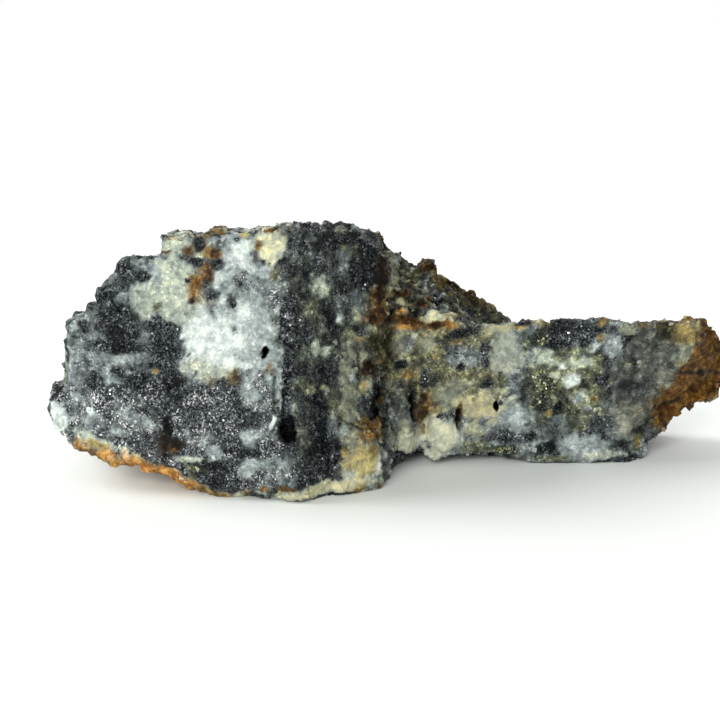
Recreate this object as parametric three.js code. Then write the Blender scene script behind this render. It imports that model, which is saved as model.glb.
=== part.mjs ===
// A hand specimen of gersdorffite ore in quartz: one broken stone with a tall block at its left end,
// a lower arm at its right end and a rough shoulder behind the arm. Millimetres, +Z up, the broad
// ore face towards -Y, origin at the middle of the base.
import * as THREE from "three";
import { ImprovedNoise } from "three/addons/math/ImprovedNoise.js";

// ---- Driving dimensions -------------------------------------------------------------------------
const CELL = 2.6; // spacing of the lattice that the surface is drawn on
const ROOM = { low: [-72, -43, -1.5], high: [80, 38, 60] }; // holds the whole stone
const RIDGE_FOOT = [-16.5, -33, 0.5]; // lowest point of the ridge between the two block faces
const ARM_FOOT = [39, -9, 0]; // a point low on the arm's flat face
const TOP_FALL = 12; // degrees that the block's top falls towards the back
const ARM_FALL = 20; // degrees that the arm's top falls towards the back
const BLOCK_TOP = 51; // height of the block's front edge
const ARM_TOP = 30; // height of the arm's front edge
const BLEND = 1.6; // width over which two masses grow into each other
const LEVEL = 0.05; // height under which a point belongs to the level underside

// Outlines seen from the front, as [x, z].
const BLOCK_OUTLINE = [
  [-27, -6], [-33, 0.8], [-48.5, 5.2], [-60.5, 8.6], [-65.6, 10.8], [-66.6, 14.4], [-65.4, 21],
  [-64.2, 30], [-60.4, 35.2], [-56, 36.6], [-55.4, 38.6], [-50.2, 45.4], [-42.8, 46.4],
  [-42.8, 50.6], [-30, 51], [-18, 52], [-6, 52], [-2.5, 49.5], [0.5, 46], [1.5, -6],
];
const ARM_OUTLINE = [
  [-8, 3.4], [8, 2.6], [13, 2], [22, 1.9], [34, -1], [51.5, -1], [53.4, 0.6], [56, 3.2], [59.4, 7],
  [66.5, 11.4], [71.6, 12.8], [72.8, 18], [72, 22.4], [69.2, 26.6], [65.6, 29.6], [56, 29.8],
  [45, 30.3], [28, 30], [11, 30], [-8, 30.4],
];

// ---- Shape language -----------------------------------------------------------------------------
const radians = THREE.MathUtils.degToRad;
const { clamp, lerp, smoothstep } = THREE.MathUtils;

/** A fracture plane through a point. Heading 0 faces -Y and 90 faces +X; tilt is degrees upwards. */
function facet(point, heading, tilt) {
  const level = Math.cos(radians(tilt));
  const normal = new THREE.Vector3(
    Math.sin(radians(heading)) * level,
    -Math.cos(radians(heading)) * level,
    Math.sin(radians(tilt)),
  );
  return new THREE.Plane().setFromNormalAndCoplanarPoint(normal, new THREE.Vector3(...point));
}

/** Distance to a convex mass, negative inside it. */
function mass(facets, p) {
  return Math.max(...facets.map((plane) => plane.distanceToPoint(p)));
}

/** Distance to a closed outline in the XZ plane, negative inside it. */
function outlineDistance(outline, x, z) {
  let nearest = Infinity;
  let inside = false;
  outline.forEach(([ax, az], i) => {
    const [bx, bz] = outline[(i + 1) % outline.length];
    const ex = bx - ax;
    const ez = bz - az;
    const share = clamp(((x - ax) * ex + (z - az) * ez) / (ex * ex + ez * ez), 0, 1);
    nearest = Math.min(nearest, Math.hypot(x - ax - share * ex, z - az - share * ez));
    if (az > z !== bz > z && x < ax + (ex * (z - az)) / ez) inside = !inside;
  });
  return inside ? -nearest : nearest;
}

/** Joins two distances with a small fillet where they meet. */
function join(a, b, width = BLEND) {
  const overlap = Math.max(width - Math.abs(a - b), 0) / width;
  return Math.min(a, b) - (overlap * overlap * width) / 4;
}

/** Distance to an egg-shaped lump with the given half sizes. */
function lump(p, [x, y, z], [rx, ry, rz]) {
  const reach = Math.hypot((p.x - x) / rx, (p.y - y) / ry, (p.z - z) / rz);
  return (reach - 1) * Math.min(rx, ry, rz);
}

// ---- Surface relief -----------------------------------------------------------------------------
const noise = new ImprovedNoise();
const BEDDING = new THREE.Vector3(0.42, 0.3, 0.86).normalize(); // across the stone's layers

/** Layers that break off in steps: how far the surface stands in or out at p. */
function ledges(p, thickness, depth) {
  const waver = 1.1 * noise.noise(p.x / 14, p.y / 14, p.z / 14);
  const level = p.dot(BEDDING) / thickness + waver;
  const share = level - Math.floor(level);
  return depth * (smoothstep(share, 0, 0.75) - smoothstep(share, 0.82, 1) - 0.4);
}

/** Rounded grains the size of peas, standing out of a broken surface. */
function knobs(p, spacing, depth) {
  const q = p.clone().divideScalar(spacing);
  const home = q.clone().floor();
  let nearest = Infinity;
  for (let i = 0; i < 27; i++) {
    const cell = new THREE.Vector3((i % 3) - 1, (Math.floor(i / 3) % 3) - 1, Math.floor(i / 9) - 1).add(home);
    const jitter = (k) => 0.5 + 0.9 * noise.noise(cell.x * 3.7 + k * 11.3, cell.y * 4.1 + k, cell.z * 3.3 - k);
    const seed = new THREE.Vector3(jitter(1), jitter(2), jitter(3)).add(cell);
    nearest = Math.min(nearest, seed.distanceTo(q));
  }
  return depth * (0.55 - nearest);
}

/** The relief at p, as a function of how far p lies behind a flat face: little on it, more beyond. */
function reliefAt(p) {
  const swell = noise.noise(p.x / 21 + 3, p.y / 21, p.z / 21) + 0.5 * noise.noise(p.x / 9, p.y / 9 + 7, p.z / 9);
  const flat = 0.75 * swell;
  const broken = 1.8 * swell + knobs(p, 8.5, 2.2) + ledges(p, 7.5, 1.5);
  return (behindFace) => lerp(flat, broken, smoothstep(behindFace, 0.8, 7));
}

// ---- The stone ----------------------------------------------------------------------------------
const BLOCK_FACES = [
  facet(RIDGE_FOOT, -9, 9), // broad ore face
  facet(RIDGE_FOOT, 39, 9), // darker face, turned to the right
  facet([-46, -25.9, 25], -21, 5), // left end of the ore face, turned a little to the left
];
const BLOCK_SIDES = [
  facet([-28, -30.75, 3.2], -20, -37), // weathered strip under the ore face
  facet([1.2, -19, 10], 64, 3), // right side, above the crease
  facet([-30, 29, 15], 184, 14), // back
  facet([-52, 17, 20], 232, 8), // back left corner
  facet([2, 25, 25], 152, 20), // back right corner
  facet([-40, 14, 42], 205, 52), // worn top edge at the back
];
const ARM_FACE = [
  facet(ARM_FOOT, 2, 3), // flat face
  facet([62.3, -6.8, 20], 33, -15), // splintered end
];
const ARM_SIDES = [
  facet([40, 11.5, 8], 177, 20), // back
  facet([62, 10, 15], 150, 10), // back of the splintered end
];
const SHOULDER = [
  facet([7, 10, 36], 72, 57), // rough slope that falls to the arm
  facet([0, 5, 45], 180, 80), // top
  facet([7, 27, 18], 171, 20), // back
  facet([28.5, 8, 20], 78, 12), // right end
  facet([5, -5, 20], 0, -6), // front, inside the arm
  facet([-20, 5, 30], 270, 0), // left, inside the block
];
const FOOT = [
  facet([-8, -28.2, 4], 24, 6), // quartz foot of the darker face, at the crease
  facet([-0.9, -24, 5], 82, 3),
  facet([-4, -26, 11.2], 30, 50),
  facet([-9.5, -28, 5], -58, 10),
  facet([-8, -16, 5], 180, 0),
];

// Egg-shaped lumps that stand out and grooves that are sunk, as [centre, half sizes].
const LUMPS = [
  [[2.8, -9.2, 9.8], [3.8, 3.4, 9.5]], // rounded quartz beside the crease
  [[11, -8.6, 7.2], [4.2, 3, 6]], // cream quartz to the right of it
  [[9.2, 14.5, 36.4], [2.8, 3.6, 2.4]], // brown knob on the shoulder
  [[10, -5.6, 29.6], [3.2, 2.6, 2.3]], // cream pebble on the arm's top edge
];
const GROOVES = [
  [[-0.6, -14.5, 14], [1.5, 4, 8]], // the crease, in deep shadow
  [[7.6, -12, 14], [1.4, 3, 7]], // between the two quartz lumps
];

/** Height on a front outline that a point further back, under the falling top, is measured at. */
function raised(p, fall, front, top) {
  return p.z + Math.tan(radians(fall)) * Math.max(p.y - front, 0) * clamp(p.z / top, 0, 1);
}

/** Distance to the stone's surface, negative inside. */
function stone(p) {
  const blockFace = mass(BLOCK_FACES, p);
  const armFace = mass(ARM_FACE, p);
  const relief = reliefAt(p);
  const block = Math.max(
    blockFace,
    mass(BLOCK_SIDES, p),
    outlineDistance(BLOCK_OUTLINE, p.x, raised(p, TOP_FALL, -26, BLOCK_TOP)),
  ) - relief(-blockFace);
  const arm = Math.max(
    armFace,
    mass(ARM_SIDES, p),
    outlineDistance(ARM_OUTLINE, p.x, raised(p, ARM_FALL, -8, ARM_TOP)),
  ) - relief(Math.min(-armFace, 4));
  const shoulder = mass(SHOULDER, p) - relief(Infinity);
  const foot = mass(FOOT, p) - relief(0);
  const lumps = Math.min(...LUMPS.map(([centre, halfSizes]) => lump(p, centre, halfSizes)));
  const grooves = Math.min(...GROOVES.map(([centre, halfSizes]) => lump(p, centre, halfSizes)));
  const body = join(join(join(join(block, foot), arm), shoulder, 3), lumps);
  const grooved = -join(-body, grooves, 1);
  return Math.max(grooved, -p.z);
}

// ---- From distance to faces ---------------------------------------------------------------------
const CORNERS = [...Array(8).keys()].map((i) => [i & 1, (i >> 1) & 1, i >> 2]);
const CELL_EDGES = CORNERS.flatMap((a, i) =>
  CORNERS.map((b, j) => [i, j, Math.abs(a[0] - b[0]) + Math.abs(a[1] - b[1]) + Math.abs(a[2] - b[2])]),
).filter(([i, j, apart]) => i < j && apart === 1);

/** How many separate groups the marked corners of a cell make, joined along the cell's edges. */
function groupCount(marked) {
  const group = CORNERS.map((corner, i) => i);
  for (let pass = 0; pass < CORNERS.length; pass++) {
    for (const [i, j] of CELL_EDGES) {
      if (marked[i] && marked[j]) group[i] = group[j] = Math.min(group[i], group[j]);
    }
  }
  return new Set(group.filter((g, i) => marked[i])).size;
}

/** Fills corners of the lattice until the solid touches itself nowhere along an edge or at a point. */
function fillPinches(values, cells) {
  let pinched = true;
  while (pinched) {
    pinched = false;
    for (const corners of cells) {
      const inside = corners.map((n) => values[n] < 0);
      if (groupCount(inside) < 2 && groupCount(inside.map((v) => !v)) < 2) continue;
      const outside = corners.filter((n) => values[n] >= 0);
      values[outside.reduce((a, b) => (values[a] < values[b] ? a : b))] = -1e-6;
      pinched = true;
    }
  }
}

/** The point between a and b where the field crosses zero. */
function crossing(field, a, b) {
  const low = a.clone();
  const high = b.clone();
  const startsInside = field(low) < 0;
  const middle = new THREE.Vector3();
  for (let step = 0; step < 14; step++) {
    middle.addVectors(low, high).multiplyScalar(0.5);
    (field(middle) < 0 === startsInside ? low : high).copy(middle);
  }
  return middle.clone();
}

/** The direction in which the field grows fastest at p. */
function slope(field, p) {
  const step = 0.02;
  const along = (axis) => {
    const ahead = p.clone();
    const behind = p.clone();
    ahead[axis] += step;
    behind[axis] -= step;
    return field(ahead) - field(behind);
  };
  return new THREE.Vector3(along("x"), along("y"), along("z")).normalize();
}

/** The point that lies best on all the tangent planes where the surface crosses a cell's edges. */
function cornerPoint(points, slopes, box) {
  const best = new THREE.Vector3();
  points.forEach((point) => best.addScaledVector(point, 1 / points.length));
  const pull = new THREE.Vector3();
  for (let step = 0; step < 40; step++) {
    pull.set(0, 0, 0);
    points.forEach((point, i) => pull.addScaledVector(slopes[i], slopes[i].dot(point.clone().sub(best))));
    best.addScaledVector(pull, 1.4 / points.length);
  }
  return box.clampPoint(best, best);
}

/** A closed surface with crisp edges where the field is zero, one point to each lattice cell. */
function surface(field, { low, high }, cell) {
  const counts = low.map((v, axis) => Math.ceil((high[axis] - v) / cell) + 1);
  const at = (i, j, k) => new THREE.Vector3(low[0] + i * cell, low[1] + j * cell, low[2] + k * cell);
  const key = (i, j, k) => i + counts[0] * (j + counts[1] * k);
  const values = new Float64Array(counts[0] * counts[1] * counts[2]);
  const each = (visit, trim = 0) => {
    for (let k = 0; k < counts[2] - trim; k++)
      for (let j = 0; j < counts[1] - trim; j++) for (let i = 0; i < counts[0] - trim; i++) visit(i, j, k);
  };
  each((i, j, k) => (values[key(i, j, k)] = field(at(i, j, k))));
  const cells = [];
  each((i, j, k) => {
    const corners = CORNERS.map(([a, b, c]) => key(i + a, j + b, k + c));
    if (new Set(corners.map((n) => values[n] < 0)).size > 1) cells.push(corners);
  }, 1);
  fillPinches(values, cells);

  const positions = [];
  const pointOf = new Map();
  each((i, j, k) => {
    const points = [];
    for (const [a, b] of CELL_EDGES) {
      const [p, q] = [a, b].map((c) => [i + CORNERS[c][0], j + CORNERS[c][1], k + CORNERS[c][2]]);
      if (values[key(...p)] < 0 !== values[key(...q)] < 0) points.push(crossing(field, at(...p), at(...q)));
    }
    if (!points.length) return;
    const inner = 0.03 * cell;
    const box = new THREE.Box3(at(i, j, k).addScalar(inner), at(i + 1, j + 1, k + 1).subScalar(inner));
    pointOf.set(key(i, j, k), positions.length / 3);
    positions.push(...cornerPoint(points, points.map((point) => slope(field, point)), box));
  }, 1);

  const faces = [];
  const distance = (a, b) => Math.hypot(...[0, 1, 2].map((n) => positions[3 * a + n] - positions[3 * b + n]));
  const strides = [1, counts[0], counts[0] * counts[1]];
  each((i, j, k) => {
    const here = key(i, j, k);
    for (let axis = 0; axis < 3; axis++) {
      if ([i, j, k][axis] + 1 >= counts[axis]) continue;
      const inside = values[here] < 0;
      if (inside === values[here + strides[axis]] < 0) continue;
      const [u, v] = [strides[(axis + 1) % 3], strides[(axis + 2) % 3]];
      const ring = [here, here - u, here - u - v, here - v].map((cellKey) => pointOf.get(cellKey));
      if (!inside) ring.reverse();
      const [a, b, c, d] = ring;
      if (distance(a, c) < distance(b, d)) faces.push(a, b, c, a, c, d);
      else faces.push(b, c, d, b, d, a);
    }
  });
  return new THREE.BufferGeometry()
    .setAttribute("position", new THREE.Float32BufferAttribute(positions, 3))
    .setIndex(faces);
}

// ---- The part -----------------------------------------------------------------------------------
function specimen() {
  const geometry = surface(stone, ROOM, CELL);
  const { position } = geometry.attributes;
  for (let i = 0; i < position.count; i++) {
    if (position.getZ(i) < LEVEL) position.setZ(i, 0); // the underside is truly level
  }
  geometry.computeBoundingBox();
  const { min, max } = geometry.boundingBox;
  geometry.translate(-(min.x + max.x) / 2, -(min.y + max.y) / 2, -min.z);
  geometry.computeVertexNormals();
  const material = new THREE.MeshStandardMaterial({ color: 0x767c80, roughness: 0.55, metalness: 0.2 });
  const mesh = new THREE.Mesh(geometry, material);
  mesh.name = "ore_specimen";
  return mesh;
}

const part = new THREE.Group();
part.add(specimen());
export default part;
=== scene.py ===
"""A broken hand specimen of gersdorffite ore in quartz, finished over its faceted solid.

One stone: a fine surface of chips, ledges and pits, painted patch by patch with the minerals that show
there and with painted shade in its pits, grooves and clefts, and three crusts that stand on it: metallic
ore crystals, glassy quartz chips and golden sulphide grains.
Sizes and places are millimetres, measured along from the stone's left end and up from its base.
"""
import logging
import math
from dataclasses import dataclass, fields
from enum import Enum

import bmesh
import bpy
import numpy as np
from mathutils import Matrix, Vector


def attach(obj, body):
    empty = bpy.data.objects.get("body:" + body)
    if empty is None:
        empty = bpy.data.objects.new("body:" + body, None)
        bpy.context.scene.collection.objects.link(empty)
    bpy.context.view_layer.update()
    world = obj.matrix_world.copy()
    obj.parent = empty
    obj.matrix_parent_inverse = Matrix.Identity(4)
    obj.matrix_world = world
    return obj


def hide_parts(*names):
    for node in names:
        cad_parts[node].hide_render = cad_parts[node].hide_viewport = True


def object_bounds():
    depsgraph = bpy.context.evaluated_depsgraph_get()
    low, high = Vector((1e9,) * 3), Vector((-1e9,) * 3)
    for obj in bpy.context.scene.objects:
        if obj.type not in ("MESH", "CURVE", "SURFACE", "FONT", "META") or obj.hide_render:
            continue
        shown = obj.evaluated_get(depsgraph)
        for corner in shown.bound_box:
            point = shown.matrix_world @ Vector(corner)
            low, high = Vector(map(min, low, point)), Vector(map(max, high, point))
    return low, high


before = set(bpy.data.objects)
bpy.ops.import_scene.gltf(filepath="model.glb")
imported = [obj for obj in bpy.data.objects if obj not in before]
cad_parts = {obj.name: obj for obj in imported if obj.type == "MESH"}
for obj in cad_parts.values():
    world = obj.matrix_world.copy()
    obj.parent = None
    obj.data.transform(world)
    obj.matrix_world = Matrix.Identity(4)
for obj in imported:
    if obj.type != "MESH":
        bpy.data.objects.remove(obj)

CAD_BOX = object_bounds()
NODE = "ore_specimen"
BODY = "root"
MM = 0.001

Socket = bpy.types.NodeSocket
Sockets = bpy.types.bpy_prop_collection
Colour = tuple[float, float, float]
Stops = tuple[tuple[float, Colour], ...]  # places from 0 to 1, each with its colour
Reach = tuple[float, float]  # where a soft step starts and where it ends

log = logging.getLogger("ore_specimen")


# ---- Noise ------------------------------------------------------------------------------------------
class StoneNoise:
    """Smooth and cellular noise with a fixed seed, worked out for many points at once."""

    TABLE = 256  # entries in the shuffled table
    FINER = 2.03  # how much finer each layer of clouds is than the last
    APART = 17.3  # shift that keeps the layers from lining up
    UNEVEN = 0.42  # how far a chip's middle strays from its cell's, as a share of the cell
    CLEFT = 0.22  # width of a cleft, as a share of a chip

    def __init__(self, seed: int) -> None:
        """Draws the shuffled table, the directions and the chances.

        Args:
            seed: number that fixes the pattern.
        """
        draw = np.random.RandomState(seed)
        self.shuffle = draw.permutation(self.TABLE)
        directions = draw.normal(size=(self.TABLE, 3))
        self.directions = directions / np.linalg.norm(directions, axis=1, keepdims=True)
        self.chances = draw.uniform(-1.0, 1.0, size=(self.TABLE, 6))

    def _entry(self, cell: np.ndarray) -> np.ndarray:
        """The table entry of each whole-numbered lattice cell.

        Args:
            cell: whole numbers, one row of three for each point.

        Returns:
            One whole number from 0 to 255 for each row.
        """
        x, y, z = (cell[..., axis].astype(int) for axis in range(3))
        wrap = self.TABLE - 1
        return self.shuffle[(self.shuffle[(self.shuffle[x & wrap] + y) & wrap] + z) & wrap]

    def smooth(self, points: np.ndarray) -> np.ndarray:
        """Smooth noise of wavelength one.

        Args:
            points: one row of three for each point.

        Returns:
            One number from about -1 to 1 for each point.
        """
        home = np.floor(points)
        share = points - home
        ease = share * share * share * (share * (share * 6 - 15) + 10)
        total = np.zeros(len(points))
        for corner in np.ndindex(2, 2, 2):
            step = np.array(corner)
            pull = (self.directions[self._entry(home + step)] * (share - step)).sum(1)
            weight = np.where(step, ease, 1 - ease).prod(1)
            total += pull * weight
        return total * 1.6  # fills the range from -1 to 1

    def clouds(self, points: np.ndarray, size: float, layers: int = 4,
               roughness: float = 0.55) -> np.ndarray:
        """Layers of smooth noise, each finer and fainter than the last.

        Args:
            points: places in millimetres.
            size: wavelength of the coarsest layer in millimetres.
            layers: number of layers.
            roughness: strength of each layer as a share of the one before.

        Returns:
            One number from about -1 to 1 for each point.
        """
        total = np.zeros(len(points))
        strength, reach = 1.0, 0.0
        for layer in range(layers):
            total += strength * self.smooth(points * (self.FINER**layer / size) + self.APART * layer)
            reach += strength
            strength *= roughness
        return total / reach * 1.5  # fills the range again, which the sum of layers seldom does

    def chips(self, points: np.ndarray, size: float) -> tuple[np.ndarray, np.ndarray]:
        """Flat chips, one to each cell of an uneven lattice, with narrow clefts between them.

        Args:
            points: places in millimetres.
            size: width of a chip in millimetres.

        Returns:
            The height of each point on its chip, from about -1 to 1, and how near it is to a cleft, 0 to 1.
        """
        scaled = points / size
        home = np.floor(scaled)
        nearest = np.full(len(points), np.inf)
        second = np.full(len(points), np.inf)
        height = np.zeros(len(points))
        for step in np.ndindex(3, 3, 3):
            cell = home + np.array(step) - 1
            chance = self.chances[self._entry(cell)]
            offset = scaled - (cell + 0.5 + self.UNEVEN * chance[:, :3])
            apart = (offset * offset).sum(1)
            closer = apart < nearest
            second = np.where(closer, nearest, np.minimum(second, apart))
            nearest = np.where(closer, apart, nearest)
            height = np.where(closer, (offset * chance[:, 3:]).sum(1) + 0.35 * chance[:, 0], height)
        return height, 1 - ramp(np.sqrt(second) - np.sqrt(nearest), 0.0, self.CLEFT)


def ramp(values: np.ndarray, low: float, high: float) -> np.ndarray:
    """A smooth step from 0 at low to 1 at high.

    Args:
        values: the numbers to step.
        low: value that gives 0.
        high: value that gives 1.

    Returns:
        Numbers from 0 to 1.
    """
    share = np.clip((values - low) / (high - low), 0.0, 1.0)
    return share * share * (3 - 2 * share)


def between(values: np.ndarray, rise: Reach, fall: Reach) -> np.ndarray:
    """1 between two soft steps and 0 outside them, for the step up and the step down given."""
    return ramp(values, *rise) * (1 - ramp(values, *fall))


def laid_over(under: np.ndarray, over: np.ndarray, share: np.ndarray) -> np.ndarray:
    """One set of mineral amounts laid over another, by a share for each point."""
    return under + share[:, None] * (over - under)


# ---- Minerals and where they show -------------------------------------------------------------------
@dataclass(frozen=True)
class Tone:
    """How much of each thing colours the stone at one place, each from 0 to 1."""

    ore: float = 0.0  # dark metallic grains
    sparkle: float = 0.3  # share of those grains painted bright, as painted glints
    white: float = 0.4  # quartz, from smoky to milky
    cream: float = 0.0
    olive: float = 0.0
    rust: float = 0.0
    umber: float = 0.0
    painted_shade: float = 0.0  # painted shade: near-black colour put in pits and clefts, where shade falls
    grit: float = 0.6  # how gritty, from smooth glassy quartz to a crush of small grains


AMOUNTS = [entry.name for entry in fields(Tone)]


class Mineral(Enum):
    """The minerals, stains and painted shade that make up the stone's zones."""

    BLUE_GREY = Tone(ore=0.28, sparkle=0.4, white=0.64, grit=0.8)
    GREENISH = Tone(ore=0.03, white=0.82, cream=0.16, olive=0.16, grit=0.5)
    DARK_ORE = Tone(ore=0.76, sparkle=0.3, white=0.36, painted_shade=0.1)
    DARK_MIX = Tone(ore=0.52, sparkle=0.45, white=0.66, cream=0.2, olive=0.2, grit=0.9)
    ORE = Tone(ore=0.62, sparkle=0.5, white=0.58)
    BLACK_ORE = Tone(ore=0.95, sparkle=0.25, white=0.2, painted_shade=0.25)
    SPARKLE = Tone(ore=0.74, sparkle=0.65, white=0.54)
    BRIGHT_SPARKLE = Tone(ore=0.46, sparkle=1.0, white=0.76)
    PINK_ORE = Tone(ore=0.5, sparkle=1.0, white=0.8)
    SMEAR = Tone(ore=0.66, sparkle=0.4, white=0.5)
    # Painted shade: near-black patches laid over the pits, grooves and crease that the dents cut.
    PIT_SHADE = Tone(ore=0.7, sparkle=0.0, white=0.1, painted_shade=1.0)
    ICE = Tone(ore=0.1, white=0.72, grit=0.5)
    PALE_ICE = Tone(ore=0.1, sparkle=0.5, white=0.78, grit=0.5)
    WARM_ICE = Tone(ore=0.06, white=0.82, cream=0.3, grit=0.5)
    MILKY = Tone(white=0.95, grit=0.35)
    CREAMY_WHITE = Tone(ore=0.02, white=0.9, cream=0.45, grit=0.2)
    CREAM_QUARTZ = Tone(white=0.88, cream=0.6, rust=0.08, grit=0.2)
    CREAM = Tone(ore=0.06, white=0.78, cream=0.85, rust=0.2, grit=0.3)
    OCHRE_CREAM = Tone(white=0.9, cream=0.58, grit=0.3)
    PEARL = Tone(ore=0.08, white=0.7, cream=0.32, grit=0.3)
    ROSE_CREAM = Tone(ore=0.03, white=0.84, cream=0.66, rust=0.14, grit=0.25)
    BEIGE = Tone(ore=0.14, white=0.74, cream=0.6, grit=0.45)
    TAN = Tone(white=0.62, cream=1.0, rust=0.4, grit=0.35)
    TAN_BROWN = Tone(ore=0.08, white=0.54, cream=0.95, rust=0.6, umber=0.3)
    BROWN = Tone(white=0.52, cream=1.0, rust=0.95, umber=0.3, grit=0.3)
    ORANGE_BROWN = Tone(white=0.56, cream=1.0, rust=1.0, umber=0.4, grit=0.3)
    OCHRE = Tone(white=0.66, cream=1.0, rust=0.55)
    # Very pale rust; where it lines the block's underside, its paleness is partly painted light, for light
    # bounced up from the floor.
    STRIP_RUST = Tone(white=0.92, cream=0.5, rust=1.0, grit=0.4)
    RUST = Tone(white=0.62, cream=0.7, rust=1.0, umber=0.1)
    DARK_RUST = Tone(ore=0.08, white=0.46, cream=0.6, rust=1.0, umber=0.5)
    UMBER = Tone(ore=0.2, white=0.3, cream=0.7, rust=0.4, umber=0.9)
    UMBER_OLIVE = Tone(ore=0.1, white=0.36, cream=0.9, olive=0.2, umber=0.4)
    OLIVE = Tone(ore=0.24, sparkle=0.6, white=0.62, cream=0.35, olive=0.5, grit=1)
    OLIVE_PALE = Tone(ore=0.22, white=0.58, cream=0.45, olive=0.36, grit=0.9)
    DARK_OLIVE = Tone(ore=0.5, sparkle=0.5, white=0.58, olive=0.6, grit=1)
    SPECKLE = Tone(ore=0.32, sparkle=0.55, white=0.66, cream=0.7, rust=0.06, olive=0.18, grit=0.9)
    GREY_GLASS = Tone(ore=0.1, sparkle=0.2, white=0.6, cream=0.55, grit=0.3)
    GREY_CLOUD = Tone(ore=0.16, sparkle=0.2, white=0.42, cream=0.32, grit=0.45)
    SMOKE = Tone(ore=0.3, sparkle=0.1, white=0.2, grit=0.3)
    HAZE = Tone(white=0.56, cream=0.35, rust=0.12, grit=0.35)
    ROUGH_DARK = Tone(ore=0.42, sparkle=0.4, white=0.56, cream=0.5, olive=0.25, umber=0.2)

    @property
    def amounts(self) -> np.ndarray:
        """The amounts in the order of AMOUNTS."""
        return np.array([getattr(self.value, name) for name in AMOUNTS])


@dataclass(frozen=True)
class Oval:
    """A soft, uneven oval on the front of the stone."""

    along: float  # its middle, from the stone's left end
    up: float  # the same, above the base
    half_length: float
    half_width: float

    def local(self, along: np.ndarray, up: np.ndarray, warp: np.ndarray, sway: float,
              turn: float) -> tuple[np.ndarray, np.ndarray]:
        """Where points lie in the oval, as shares of its half length and half width.

        Args:
            along: distance of each point from the left end.
            up: height of each point.
            warp: three columns of noise, of which two move the points.
            sway: how far they move, in millimetres.
            turn: the oval's turn from level in degrees, rising to the right.

        Returns:
            Two numbers for each point, 0 at the middle and 1 at the edge.
        """
        du = along - self.along + sway * warp[:, 0]
        dz = up - self.up + sway * warp[:, 1]
        cos, sin = math.cos(math.radians(turn)), math.sin(math.radians(turn))
        return (du * cos + dz * sin) / self.half_length, (dz * cos - du * sin) / self.half_width


@dataclass(frozen=True)
class Patch(Oval):
    """A patch of one mineral."""

    mineral: Mineral
    turn: float = 0.0  # degrees from level, rising to the right

    def cover(self, along: np.ndarray, up: np.ndarray, warp: np.ndarray) -> np.ndarray:
        """How much of the surface the patch covers.

        Args:
            along: distance of each point from the left end.
            up: height of each point.
            warp: three columns of noise that make the border uneven.

        Returns:
            One number from 0 to 1 for each point.
        """
        narrow = min(self.half_length, self.half_width)
        sway = min(1.2, 0.4 + 0.2 * narrow)
        soft = min(0.5, max(0.18, 1.0 / narrow))
        fray = min(0.8, 2.4 / narrow)
        reach = np.hypot(*self.local(along, up, warp, sway, self.turn))
        return 1 - ramp(reach + fray * warp[:, 2], 1 - soft, 1 + soft)


def painted(*layers: tuple) -> list[Patch]:
    """Patches in the order in which they are painted.

    Args:
        layers: a mineral, then for each of its patches the middle, the half sizes and any turn.

    Returns:
        The patches.
    """
    return [Patch(*place[:4], mineral, *place[4:]) for mineral, *places in layers for place in places]


SHOULDER = painted(
    (Mineral.ROUGH_DARK, (83, 33, 16.5, 7), (94, 27, 6, 3.5, -35)),
    (Mineral.TAN_BROWN, (88.5, 32, 9.5, 1.9, -35)),
    (Mineral.TAN, (86.3, 33.8, 2.6, 0.9, -35), (91.8, 30.2, 2.6, 0.9, -35)),
    (Mineral.BEIGE, (70.5, 36.8, 1.3, 1.7), (71.5, 38.4, 1, 1.4)),
    (Mineral.OLIVE_PALE, (74.5, 37.9, 2.6, 1.1, -10)),
    (Mineral.DARK_OLIVE, (73, 36, 1.2, 0.8)),
    (Mineral.DARK_RUST, (78.8, 38.5, 2.3, 1.2)),
    (Mineral.OCHRE, (80.5, 36, 1.8, 1, -40), (82, 34.5, 2, 1.1, -45)),
    (Mineral.TAN_BROWN, (84.4, 33, 1.8, 1.3, -35)),
    (Mineral.BLUE_GREY, (78.5, 35.3, 1, 1.4, -40)),
    (Mineral.BLACK_ORE, (79.5, 32.3, 1.5, 0.8)),
    (Mineral.GREY_GLASS, (77.5, 34, 2.6, 1.2, -40)),
    (Mineral.ICE, (80.2, 32.3, 2, 0.5, -42)),
    (Mineral.DARK_RUST, (76.8, 32.9, 2, 0.6, -15), (73, 35.6, 2, 0.9)),
    (Mineral.OCHRE_CREAM, (72.3, 33.7, 0.8, 0.6)),
    (Mineral.BEIGE, (74.3, 33.5, 0.6, 0.7)),
    (Mineral.OLIVE_PALE, (83.8, 29.8, 1.6, 0.7)),
    (Mineral.BEIGE, (85, 30, 0.8, 0.7)),
    (Mineral.UMBER_OLIVE, (88, 29.4, 1.6, 0.8)),
    (Mineral.TAN_BROWN, (89.7, 30.8, 1.8, 0.7, -25)),
    (Mineral.TAN, (92.3, 29.2, 2, 0.8, -42)),
    (Mineral.SMEAR, (87.3, 28, 1.3, 0.8)),
    (Mineral.DARK_OLIVE, (91, 27.3, 2.2, 1)),
    (Mineral.OLIVE_PALE, (95, 26.3, 1.4, 0.6, -40)),
    (Mineral.DARK_RUST, (73.2, 30.3, 3.6, 1)),
    (Mineral.RUST, (75.6, 29.9, 1.3, 0.6)),
    (Mineral.STRIP_RUST, (72.3, 31.9, 1.3, 0.7)),
)
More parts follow.
